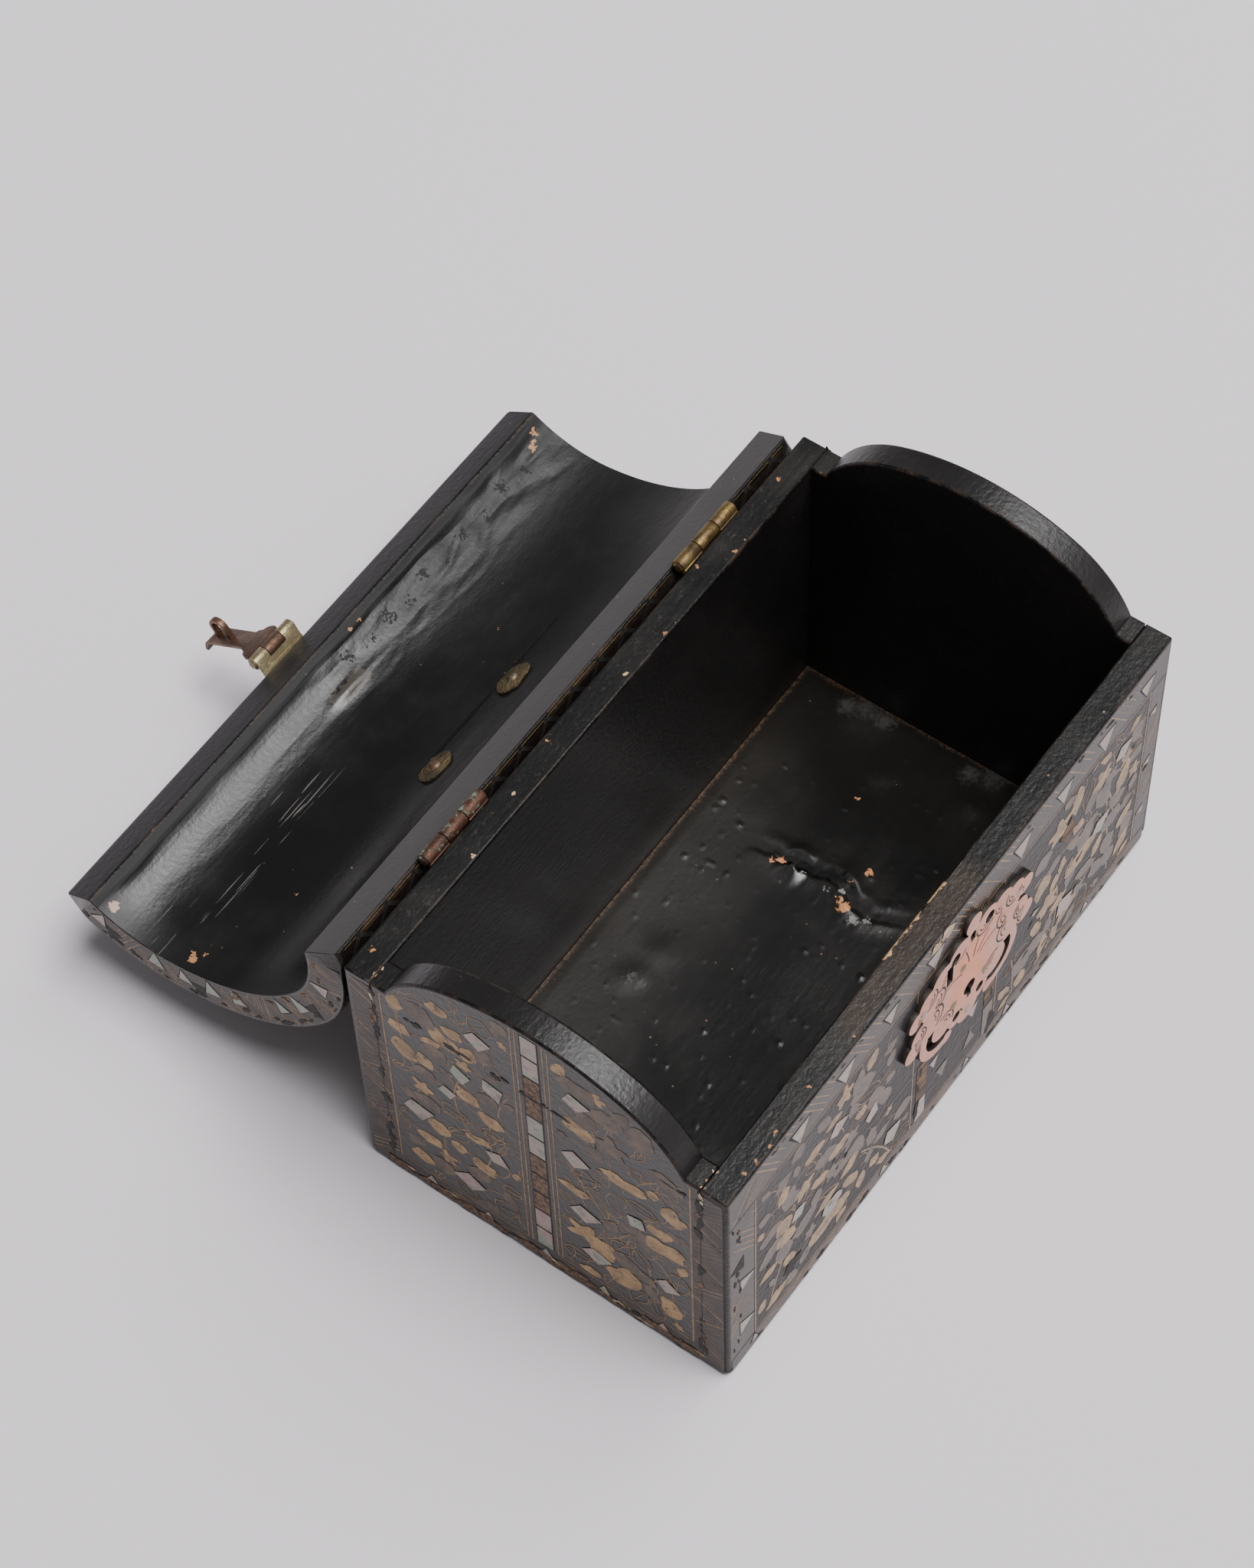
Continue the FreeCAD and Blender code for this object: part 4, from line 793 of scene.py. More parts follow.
def shell_finish():
    """Mother-of-pearl: cream drifting to rose and pale green in bands, cracked and dulled in places."""
    finish, tree, shader = new_finish("shell_inlay", Roughness=0.22, Metallic=0.12)
    place = object_place(tree)
    drift = add_node(tree, "TexNoise", {"Vector": place, "Scale": 85.0, "Detail": 1.0,
                                        "Distortion": 1.2}).outputs["Fac"]
    bands = add_node(tree, "TexWave", {"Vector": place, "Scale": 300.0, "Distortion": 6.0, "Detail": 2.0,
                                       "Detail Scale": 1.5}).outputs["Fac"]
    colour = blended(tree, threshold(tree, drift, 0.36, 0.48), (0.31, 0.168, 0.155), (0.28, 0.220, 0.162))
    colour = blended(tree, threshold(tree, drift, 0.52, 0.62), colour, (0.172, 0.207, 0.148))
    colour = blended(tree, times(tree, bands, 0.30), colour, (0.40, 0.32, 0.30))
    dulled = threshold(tree, cloud(tree, place, 0.0034, 5.0, 0.7), 0.52, 0.66)
    dressed(tree, shader, Base_Color=blended(tree, times(tree, dulled, 0.75), colour, (0.085, 0.070, 0.058)))
    add_bump(tree, shader, bands, 0.00002)
    return finish


def bare_finish(name, dark, pale):
    """Softwood ground left where shell or lacquer is lost."""
    finish, tree, shader = new_finish(name, Roughness=0.7)
    grain = cloud(tree, object_place(tree, (0.2, 1, 1)), 0.0016, 5.0, 0.65)
    dressed(tree, shader, Base_Color=blended(tree, threshold(tree, grain, 0.36, 0.62), dark, pale))
    add_bump(tree, shader, grain, 0.0002)
    return finish


# The last finish, the zigzag's gold, is far brighter than the leaf gold: painted light for its band in the shaded gap.
ornament_finishes = [gold_finish("leaf_gold", (0.42, 0.268, 0.118), (0.26, 0.155, 0.067), 0.8),
                     gold_finish("faded_gold", (0.140, 0.098, 0.066), (0.078, 0.055, 0.039), 0.6),
                     gold_finish("line_gold", (0.31, 0.195, 0.092), (0.19, 0.115, 0.056), 0.5),
                     shell_finish(), bare_finish("bare_wood", (0.030, 0.018, 0.011), (0.21, 0.120, 0.064)),
                     bare_finish("black_loss", (0.004, 0.0035, 0.003), (0.014, 0.011, 0.009)),
                     gold_finish("border_ground", (0.056, 0.040, 0.031), (0.033, 0.024, 0.019), 0.7),
                     bare_finish("cream_wood", (0.40, 0.27, 0.15), (0.66, 0.52, 0.36)),
                     gold_finish("zigzag_gold_painted_light", (0.80, 0.47, 0.16), (0.55, 0.31, 0.11), 0.5)]
LEAF_FORMS = {
    "oval": (16, lambda turn: 1.0),
    "pointed": (20, lambda turn: (abs(math.cos(turn)) + abs(math.sin(turn))) ** -0.5),
    "heart": (20, lambda turn: 1.0 - 0.42 * math.exp(-((turn - math.pi / 2) / 0.42) ** 2)),
    "lobed": (25, lambda turn: 0.77 + 0.23 * math.cos(5 * turn)),
    "square": (4, lambda turn: 1.10 + 0.20 * math.cos(turn + 0.7)),
    "triangle": (3, lambda turn: 1.0),
}


def pointing(angle):
    return Vector((math.cos(angle), math.sin(angle)))


def stamped(bm, form, place, angle, length, width, level, finish, ragged=0.0):
    """Flat shape on a panel, drawn as a disc whose rim is pulled in and out."""
    corners, reach = LEAF_FORMS[form]
    made = bmesh.ops.create_circle(bm, cap_ends=True, radius=1.0, segments=corners)["verts"]
    for vert in made:
        turn = math.atan2(vert.co.x, -vert.co.y)
        rough = waves(place[0] * 700 + 1.4 * math.cos(turn), place[1] * 700 + 1.4 * math.sin(turn), 2.0)
        pull = reach(turn) * (1.0 + ragged * rough)
        vert.co = (-vert.co.y * pull * length / 2, vert.co.x * pull * width / 2, 0)
    bmesh.ops.rotate(bm, verts=made, cent=(0, 0, 0), matrix=Matrix.Rotation(angle, 3, "Z"))
    bmesh.ops.translate(bm, verts=made, vec=(place[0], place[1], level))
    face = made[0].link_faces[0]
    face.material_index = finish
    return face


def ruled(bm, start, end, width, finish=LINE, level=LINE_LEVEL, parts=1):
    """Straight thin line on a panel."""
    start, end = Vector(start), Vector(end)
    run = end - start
    laid = (Matrix.Translation(((start.x + end.x) / 2, (start.y + end.y) / 2, level))
            @ Matrix.Rotation(math.atan2(run.y, run.x), 4, "Z") @ Matrix.Diagonal((run.length, width, 1, 1)))
    made = bmesh.ops.create_grid(bm, x_segments=parts, y_segments=1, size=0.5, matrix=laid)["verts"]
    for face in {face for vert in made for face in vert.link_faces}:
        face.material_index = finish


def outlined(bm, form, place, angle, length, width, level):
    """A leaf drawn only by its edge and its middle vein."""
    edge, vein = 0.00032, 0.000256
    face = stamped(bm, form, place, angle, length, width, level, LINE, 0.2)
    bmesh.ops.inset_individual(bm, faces=[face], thickness=edge, use_even_offset=True)
    bmesh.ops.delete(bm, geom=[face], context="FACES_ONLY")
    reach = pointing(angle) * length * 0.40
    ruled(bm, place - reach, place + reach, vein, LINE, level)


def stem(bm, start, heading, length, turn, width, keep, finish=LINE, level=STEM_LEVEL):
    """Curved thin line: a short edge swept about a centre, as far as it stays on its panel."""
    start = Vector(start)
    turn = turn if abs(turn) > 0.05 else 0.05
    side = Vector((-math.sin(heading), math.cos(heading)))
    centre = start + side * length / turn

    def stays(share):
        return all(keep(centre + Matrix.Rotation(turn * share * step / 6, 2) @ (start - centre)) for step in range(7))

    share = 1.0
    while share > 0.15 and not stays(share):
        share -= 0.12
    if share <= 0.15:
        return
    ends = [bmesh.ops.create_vert(bm, co=(*(start + side * width * half), level))["vert"][0] for half in (-0.5, 0.5)]
    edge = bm.edges.new(ends)
    known = set(bm.faces)
    bmesh.ops.spin(bm, geom=ends + [edge], cent=(*centre, level), axis=(0, 0, 1), angle=turn * share,
                   steps=max(4, int(length * share / 0.0016)))
    for face in set(bm.faces) - known:
        face.material_index = finish


def laid_leaves(bm, rng, leaves, keep):
    """Leaves and inlaid pieces, each with its place, length and width in millimetres, and fine stems."""
    for number, (u, v, length, width, degrees, form, finish) in enumerate(leaves):
        place = Vector((u, v)) / 1000
        angle = math.radians(degrees)
        inlaid = finish in (SHELL, LOST, HOLE)
        if form == "pointed" and not inlaid:
            width = max(width, 0.52 * length)

        def stays(length, width):
            rim = (Vector((math.cos(turn) * length, math.sin(turn) * width)) / 2000
                   for turn in (0.0, 0.8, 1.6, 2.4, 3.1, 3.9, 4.7, 5.5))
            return all(keep(place + Matrix.Rotation(angle, 2) @ point) for point in rim)

        while length > 4 and not stays(length, width):
            length, width = length * 0.85, width * 0.85
        if length <= 4:
            continue
        size = length / 1000, width / 1000
        level = 0.00004 + 0.0000006 * number
        if finish == OUTLINE:
            outlined(bm, form, place, angle, *size, level)
        elif inlaid:
            stamped(bm, form, place, angle, size[0] + 0.0003, size[1] + 0.0003, level + 0.00005, HOLE, 0.5)
            stamped(bm, form, place, angle, *size, level + 0.00009, finish, 0.5)
        else:
            stamped(bm, form, place, angle, *size, level, finish, 0.35)
        for branch in range(rng.choice((0, 1, 1, 2))):
            stem(bm, place + pointing(angle) * length / 2000, angle + rng.uniform(-0.9, 0.9),
                 rng.uniform(0.006, 0.016), rng.choice((-1, 1)) * rng.uniform(0.6, 2.4),
                 rng.uniform(0.00026, 0.00042), keep)


def loose_stems(bm, rng, count, side, spans, keep):
    """Long stems on one half of a panel; spans limit their foot, heading, length and turn."""
    for number in range(count):
        across, height, heading, length, turn = (rng.uniform(*span) for span in spans)
        stem(bm, (side * across, height), heading, length, turn, 0.0005, keep)


MIXED = (GOLD, GOLD, GOLD, GOLD, FADED, FADED, OUTLINE, OUTLINE, SHELL, SHELL)
FORM_WIDTHS = {"square": 0.92, "oval": 0.72, "pointed": 0.46, "heart": 0.78, "lobed": 0.86}


def strewn(rng, low, high, keep, count, spacing, taken=(), finishes=MIXED):
    """Seeded list of leaves for a panel, none nearer to another than the spacing, in millimetres."""
    leaves = []
    for attempt in range(count * 40):
        u, v = rng.uniform(low[0], high[0]), rng.uniform(low[1], high[1])
        if len(leaves) == count or not keep(Vector((u, v)) / 1000):
            continue
        if any(math.hypot(u - leaf[0], v - leaf[1]) < spacing for leaf in leaves + list(taken)):
            continue
        finish = rng.choice(finishes)
        form = "square" if finish == SHELL else rng.choice(("oval", "oval", "pointed", "heart", "lobed"))
        length = rng.uniform(7.0, 12.0) if finish != SHELL else rng.uniform(7.0, 9.0)
        leaves.append((u, v, length, length * FORM_WIDTHS[form], rng.uniform(-90, 90), form, finish))
    return leaves


LOWEST_FLAKE = 0.0006


def losses(bm, rng, rows):
    """Ragged flakes lost along lines: start, end, count, size, finish, spread and perhaps a lowest height."""
    for start, end, count, size, finish, spread, *lowest in rows:
        start, end = Vector(start), Vector(end)
        heading = math.atan2(end.y - start.y, end.x - start.x)
        for number in range(count):
            place = start.lerp(end, rng.random())
            place += Vector((rng.uniform(-spread, spread), rng.uniform(-spread, spread)))
            length = size * rng.uniform(0.5, 1.6)
            width = length * rng.uniform(0.22, 0.5)
            for height in lowest:
                place.y = max(place.y, height + 0.8 * width)
            slant = rng.uniform(-0.25, 0.25) * (not lowest)
            stamped(bm, "oval", place, heading + slant, length, width, 0.00015 + 0.000001 * number, finish, 1.1)


def hatched_border(bm, rng, start, along, length, width, base, shells, dark=()):
    """Band of triangles, point up and point down: some hold shell or a black loss, the rest slanting lines."""
    start, along = Vector(start), Vector(along).normalized()
    across = Vector((-along.y, along.x))
    count = int(length / base)
    base = length / count
    middle = across * width / 2
    ruled(bm, start + middle, start + along * length + middle, width, BAND, BAND_LEVEL, 3 * count)
    for number in range(2 * count - 1):
        upward = number % 2 == 0
        left = start + along * (number / 2 * base)
        foot = 0.0 if upward else width
        tip = width - foot
        if upward and number // 2 in shells or number in dark:
            middle = left + along * base / 2 + across * (foot * 0.62 + tip * 0.38)
            angle = math.atan2(across.y, across.x) + (0 if upward else math.pi)
            size = width * rng.uniform(0.66, 0.84)
            stamped(bm, "triangle", middle, angle, size + 0.0008, size + 0.0004, LINE_LEVEL + 0.00004, HOLE)
            if number not in dark:
                stamped(bm, "triangle", middle, angle, size, size * 0.86, LINE_LEVEL + 0.00008, SHELL, 0.25)
            continue
        for line in range(8):
            share = (line + 0.5) / 8
            first = left + along * base * share + across * foot
            second = first + (along * base / 2 + across * (tip - foot)) * (1 - share) * 0.95
            if rng.random() < 0.9 and (second - first).length > 0.0008:
                ruled(bm, first, second, rng.uniform(0.00034, 0.00056), rng.choice((LINE, LINE, FADED)))


def on_front(u, v, w):
    return u, -DEPTH / 2 - w, v


def on_back(u, v, w):
    return -u, DEPTH / 2 + w, v


def on_left(u, v, w):
    return -LENGTH / 2 - w, -u, v


def on_right(u, v, w):
    return LENGTH / 2 + w, u, v


def laid_on(bm, surface):
    """Turns a flat drawing face up, bends it onto a face of the coffer and gives it its thickness."""
    bm.normal_update()
    bmesh.ops.reverse_faces(bm, faces=[face for face in bm.faces if face.normal.z < 0])
    for vert in bm.verts:
        vert.co = surface(*vert.co)
    bm.normal_update()
    bmesh.ops.solidify(bm, geom=bm.faces[:], thickness=0.00003)


PANEL_LOW, PANEL_HIGH = 0.0090, 0.0908
PANEL_LEFT, PANEL_RIGHT = -0.0995, 0.1037
MARGIN = 0.001


def front_panel(place):
    """Whether a point lies on the front's leafy panels, clear of the lock plate and the strip below it."""
    x, z = place
    on_panel = PANEL_LOW + MARGIN < z < PANEL_HIGH - MARGIN and PANEL_LEFT + MARGIN < x < PANEL_RIGHT - MARGIN
    return on_panel and (abs(x - 0.0065) > 0.036 or z < 0.036) and abs(x - 0.003) > 0.023


FRONT_LEAVES = (
    (-94.4, 85.0, 6.4, 3.6, -40, "pointed", FADED), (-78.7, 86.0, 9.4, 8.6, 80, "oval", FADED),
    (-55.9, 84.0, 10.9, 9.4, 90, "lobed", GOLD), (-42.3, 84.6, 8.0, 5.7, 70, "oval", GOLD),
    (-60.9, 77.1, 8.6, 3.4, 0, "pointed", GOLD), (-86.6, 79.3, 8.6, 8.0, 20, "square", FADED),
    (-70.9, 73.4, 8.9, 5.4, -5, "oval", GOLD), (-70.9, 67.1, 8.6, 6.9, -30, "oval", OUTLINE),
    (-46.6, 75.4, 12.6, 10.6, 0, "oval", FADED), (-33.0, 78.6, 7.9, 7.1, 10, "square", FADED),
    (-59.7, 70.0, 8.9, 8.6, 5, "square", SHELL), (-58.0, 57.9, 10.9, 7.1, 0, "heart", GOLD),
    (-46.6, 61.1, 8.6, 3.6, -20, "pointed", GOLD), (-43.4, 67.4, 12.9, 8.0, -25, "pointed", OUTLINE),
    (-67.6, 52.4, 10.3, 4.9, -20, "pointed", GOLD), (-64.9, 62.1, 11.4, 7.1, -15, "oval", FADED),
    (-92.3, 57.6, 10.6, 6.3, 0, "oval", FADED), (-78.4, 49.6, 7.1, 7.1, 25, "square", SHELL),
    (-41.6, 51.4, 8.3, 6.6, 70, "square", SHELL), (-32.0, 40.0, 16.0, 13.1, 40, "lobed", GOLD),
    (-52.3, 37.4, 8.6, 6.0, 30, "oval", GOLD), (-63.7, 33.6, 11.4, 4.9, 10, "pointed", GOLD),
    (-93.0, 35.0, 9.4, 4.3, 0, "pointed", GOLD), (-75.1, 38.3, 12.9, 7.1, 20, "oval", FADED),
    (-82.3, 27.1, 7.9, 4.9, -50, "oval", GOLD), (-90.9, 25.7, 6.6, 3.4, -60, "pointed", FADED),
    (-81.9, 21.4, 8.6, 8.3, 10, "square", HOLE), (-60.9, 27.1, 10.3, 8.9, 0, "oval", SHELL),
    (-51.3, 27.1, 10.3, 5.4, -45, "oval", GOLD), (-64.9, 20.3, 15.7, 9.7, 15, "heart", GOLD),
    (-45.6, 18.6, 8.9, 4.9, 80, "pointed", GOLD), (-38.7, 19.7, 7.4, 5.1, -60, "pointed", GOLD),
    (-30.6, 22.0, 8.6, 8.3, 20, "square", SHELL), (-33.4, 13.1, 8.0, 4.3, -20, "pointed", GOLD),
    (-44.9, 10.3, 11.4, 3.4, 0, "pointed", GOLD), (-88.7, 14.3, 12.3, 4.3, 10, "pointed", GOLD),
    (-68.7, 12.0, 6.3, 4.0, 70, "pointed", FADED), (-25.1, 14.3, 10.0, 6.3, 20, "oval", OUTLINE),
    (-32.3, 60.0, 11.4, 8.6, 0, "oval", FADED), (-95.1, 71.4, 7.1, 4.9, -30, "pointed", FADED),
    (-92.3, 46.4, 11.4, 7.1, 20, "oval", FADED), (-55.1, 44.3, 11.4, 6.3, 10, "oval", FADED),
    (-24.4, 30.0, 8.6, 7.1, 0, "oval", FADED), (55.6, 77.1, 13.7, 12.0, 20, "lobed", GOLD),
    (64.9, 82.1, 13.7, 5.1, 85, "pointed", GOLD), (79.1, 75.7, 12.3, 10.3, 50, "lobed", GOLD),
    (95.9, 83.6, 6.6, 4.6, 35, "pointed", GOLD), (87.0, 86.4, 7.1, 4.3, -55, "pointed", OUTLINE),
    (89.9, 76.7, 8.0, 7.7, 20, "square", SHELL), (60.9, 69.3, 10.6, 7.7, 80, "square", LOST),
    (71.3, 77.1, 13.1, 4.9, 75, "pointed", OUTLINE), (67.0, 64.7, 8.6, 5.7, -30, "pointed", GOLD),
    (80.6, 63.6, 16.0, 8.0, -60, "pointed", FADED), (92.0, 60.0, 14.9, 6.0, 68, "pointed", GOLD),
    (67.7, 57.1, 14.9, 6.9, -28, "pointed", FADED), (47.7, 70.0, 9.4, 8.3, 0, "oval", FADED),
    (59.1, 53.1, 8.6, 2.9, 80, "pointed", GOLD), (55.6, 48.3, 9.4, 4.9, 75, "pointed", GOLD),
    (79.9, 48.6, 9.4, 8.3, 20, "square", SHELL), (44.9, 45.7, 10.9, 6.3, -5, "square", SHELL),
    (38.4, 55.0, 10.3, 8.3, 0, "lobed", FADED), (52.7, 40.3, 13.7, 12.0, 30, "lobed", GOLD),
    (70.6, 44.6, 18.6, 5.4, 12, "pointed", GOLD), (96.3, 33.6, 11.7, 6.3, 42, "pointed", GOLD),
    (47.0, 33.6, 8.6, 4.9, -60, "oval", GOLD), (59.1, 32.6, 11.4, 8.3, 10, "lobed", GOLD),
    (87.7, 42.6, 10.3, 8.3, 0, "oval", FADED), (74.9, 31.1, 13.1, 6.6, -20, "pointed", FADED),
    (39.9, 23.6, 10.6, 10.0, 0, "oval", FADED), (63.4, 25.7, 10.0, 9.1, 30, "square", SHELL),
    (30.6, 18.6, 8.6, 4.9, -45, "pointed", GOLD), (39.9, 14.9, 8.9, 6.6, -55, "pointed", GOLD),
    (52.0, 17.1, 10.9, 4.9, 72, "pointed", GOLD), (65.1, 21.1, 12.3, 6.3, 30, "oval", GOLD),
    (81.3, 23.1, 11.4, 7.7, -60, "pointed", FADED), (88.4, 20.7, 8.6, 8.0, 0, "oval", FADED),
    (96.6, 18.6, 11.7, 6.9, 42, "pointed", GOLD), (31.3, 12.0, 10.9, 4.0, 5, "pointed", GOLD),
    (74.9, 12.9, 11.4, 5.7, 10, "oval", OUTLINE), (49.9, 11.4, 8.6, 4.3, 0, "pointed", FADED),
    (33.4, 40.0, 10.0, 7.1, 0, "oval", FADED), (99.1, 48.6, 7.1, 4.9, 60, "pointed", FADED),
    (33.4, 30.0, 7.1, 5.7, 40, "pointed", OUTLINE),
)
rng = random.Random(11)
bm = bmesh.new()
front_filling = strewn(random.Random(12), (-97, 12), (101, 89), front_panel, 90, 6.8, FRONT_LEAVES,
                       (GOLD, FADED, FADED))
laid_leaves(bm, rng, front_filling, front_panel)
laid_leaves(bm, rng, FRONT_LEAVES, front_panel)
for x, z, heading, length, turn in (
        (-0.0690, 0.0100, 1.9, 0.030, -0.7), (-0.0610, 0.0486, -0.1, 0.019, -0.9),
        (0.0890, 0.0120, 1.65, 0.060, 0.1), (0.0890, 0.0420, 1.7, 0.032, 0.3), (0.0355, 0.0110, 1.5, 0.030, 0.4),
        (0.0550, 0.0110, 1.2, 0.034, 0.6), (-0.0300, 0.0110, 1.9, 0.030, 0.5), (-0.0930, 0.0120, 1.3, 0.050, -0.3)):
    stem(bm, (x, z), heading, length, turn, 0.0007, front_panel)
for x in (PANEL_LEFT, PANEL_RIGHT):
    ruled(bm, (x, PANEL_LOW), (x, PANEL_HIGH), 0.0006)
for z in (PANEL_LOW, PANEL_HIGH):
    ruled(bm, (PANEL_LEFT, z), (PANEL_RIGHT, z), 0.0005)
for x in (-0.0195, 0.0255):
    ruled(bm, (x, PANEL_LOW), (x, PANEL_HIGH), 0.0005)
hatched_border(bm, rng, (-0.1118, 0.0918), (1, 0), 0.2236, 0.0148, 0.0222, (1, 2, 3, 4, 6, 7, 8, 9))
hatched_border(bm, rng, (0.1110, 0.0080), (-1, 0), 0.222, 0.0066, 0.0212, (1, 3, 4, 6, 9))
hatched_border(bm, rng, (-0.1002, 0.0090), (0, 1), 0.0815, 0.0116, 0.0204, (0, 1, 3), (3, 5))
hatched_border(bm, rng, (0.1045, 0.0905), (0, -1), 0.0815, 0.0068, 0.0204, (0, 1, 2))
for x, low, high, finish in ((-0.0145, 0.0095, 0.0200, SHELL), (-0.0145, 0.0215, 0.0420, LOST),
                             (0.0217, 0.0095, 0.0250, FADED), (0.0217, 0.0265, 0.0420, LOST)):
    ruled(bm, (x, low), (x, high), 0.0052, finish, 0.00009, 4)
for x, z, angle, size, finish in ((-0.0037, 0.0415, -1.6, 0.0070, SHELL), (-0.0080, 0.0330, 1.6, 0.0068, SHELL),
                                  (0.0127, 0.0340, 1.6, 0.0080, SHELL), (-0.0030, 0.0220, 1.6, 0.0100, FADED),
                                  (0.0120, 0.0180, -1.6, 0.0090, FADED)):
    stamped(bm, "triangle", (x, z), angle, size, size * 0.8, TILE_LEVEL, finish, 0.2)
for x, z, length, width, angle in ((-0.0060, 0.1042, 0.0064, 0.0048, 0.1), (-0.0108, 0.1034, 0.0056, 0.0044, -0.2)):
    stamped(bm, "oval", (x, z), angle, length, width, 0.00020, CREAM, 0.8)
losses(bm, rng, (((-0.1060, 0.0030), (0.1060, 0.0030), 34, 0.0030, HOLE, 0.0012, LOWEST_FLAKE),
                 ((-0.1085, 0.0100), (-0.1085, 0.0950), 16, 0.0028, HOLE, 0.0020),
                 ((-0.1000, 0.1045), (0.1000, 0.1045), 16, 0.0022, HOLE, 0.0008),
                 ((-0.0165, 0.0100), (-0.0165, 0.0430), 6, 0.0040, HOLE, 0.0015),
                 ((0.0230, 0.0100), (0.0230, 0.0430), 8, 0.0045, HOLE, 0.0018),
                 ((0.0280, 0.0200), (0.1000, 0.0600), 12, 0.0022, HOLE, 0.0150),
                 ((-0.0950, 0.0200), (-0.0300, 0.0700), 10, 0.0018, HOLE, 0.0150)))
laid_on(bm, on_front)
new_piece("front_ornament", bm, ornament_finishes, "coffer")


def arch_height(u):
    """Height of an end board's arched top above the table."""
    if abs(u) <= CROWN_RADIUS * math.sin(JOIN):
        return CROWN_Z + math.sqrt(CROWN_RADIUS ** 2 - u ** 2)
    if abs(u) < ARCH_HALF:
        return HAUNCH_Z + math.sqrt(max(0.0, HAUNCH_RADIUS ** 2 - (abs(u) - HAUNCH_Y) ** 2))
    return RIM


END_PANEL_LOW = 0.0100
END_PANEL_IN = 0.0062
END_PANEL_OUT = 0.0528
BORDER_OUT = 0.0638
JOINT = 0.0560


def end_panel(place):
    u, z = place
    return END_PANEL_LOW + MARGIN < z < arch_height(u) - 0.0022 and 0.0070 < abs(u) < END_PANEL_OUT - 0.0008


def end_ornament(rng, name, surface, leaves):
    """Both panels of an end, the strip of shell tiles between them, and hatched borders cracked along the joints."""
    bm = bmesh.new()
    laid_leaves(bm, rng, [leaf for leaf in leaves if end_panel(Vector(leaf[:2]) / 1000)], end_panel)
    for side in (-1, 1):
        loose_stems(bm, rng, 9, side, ((0.010, 0.049), (0.012, 0.100), (0.6, 2.5), (0.020, 0.042), (-1.6, 1.6)),
                    end_panel)
        for u in (0.0046, END_PANEL_IN):
            ruled(bm, (side * u, END_PANEL_LOW), (side * u, arch_height(u) - 0.0012), 0.00045)
        ruled(bm, (side * END_PANEL_IN, END_PANEL_LOW), (side * END_PANEL_OUT, END_PANEL_LOW), 0.0005)
        ruled(bm, (side * END_PANEL_OUT, END_PANEL_LOW), (side * END_PANEL_OUT, 0.1060), 0.0006)
        strip = side * (END_PANEL_OUT + BORDER_OUT) / 2
        ruled(bm, (strip, 0.0020), (strip, 0.1055), BORDER_OUT - END_PANEL_OUT - 0.0006, BAND, BAND_LEVEL, 24)
        for line in range(40):
            middle = 0.0060 + 0.0024 * line + 0.0029
            rise = 0.0029 if line // 5 % 2 else -0.0029
            ruled(bm, (side * 0.0536, middle - rise), (side * 0.0634, middle + rise),
                  rng.uniform(0.00034, 0.00052), rng.choice((LINE, FADED, FADED)))
        joint = side * JOINT
        ruled(bm, (joint, 0.0045), (joint, 0.1060), 0.00022, HOLE, 0.00008, 12)
        for low, high, count in ((0.078, 0.105, 10), (0.010, 0.030, 7), (0.040, 0.070, 2)):
            losses(bm, rng, (((joint, low), (joint, high), count, 0.0036, HOLE, 0.0008),
                             ((joint, low), (joint, high), count // 2, 0.0030, LOST, 0.0012)))
        losses(bm, rng, (((joint, 0.096), (joint, 0.106), 3, 0.0022, CREAM, 0.0008),))
    for tile in range(11):
        low = 0.0105 + 0.0112 * tile
        ruled(bm, (0, low), (0, low + 0.0106), 0.0062, HOLE, 0.00007)
        ruled(bm, (0, low + 0.0002), (0, low + 0.0104), 0.0054, LOST if tile in (2, 3, 4, 7, 8) else SHELL,
              TILE_LEVEL, 3)
    hatched_border(bm, rng, (0.0525, 0.0092), (-1, 0), 0.105, 0.0070, 0.0190, (0, 1, 2, 3, 4))
    losses(bm, rng, (((-JOINT, 0.0026), (JOINT, 0.0026), 46, 0.0066, LOST, 0.0014, LOWEST_FLAKE),
                     ((-JOINT, 0.0036), (JOINT, 0.0036), 16, 0.0036, CREAM, 0.0016, LOWEST_FLAKE),
                     ((-JOINT, 0.0030), (JOINT, 0.0030), 22, 0.0036, HOLE, 0.0020, LOWEST_FLAKE),
                     ((-0.0500, 0.1000), (0.0500, 0.1000), 12, 0.0034, HOLE, 0.0006)))
    laid_on(bm, surface)
    new_piece(name, bm, ornament_finishes, "coffer")


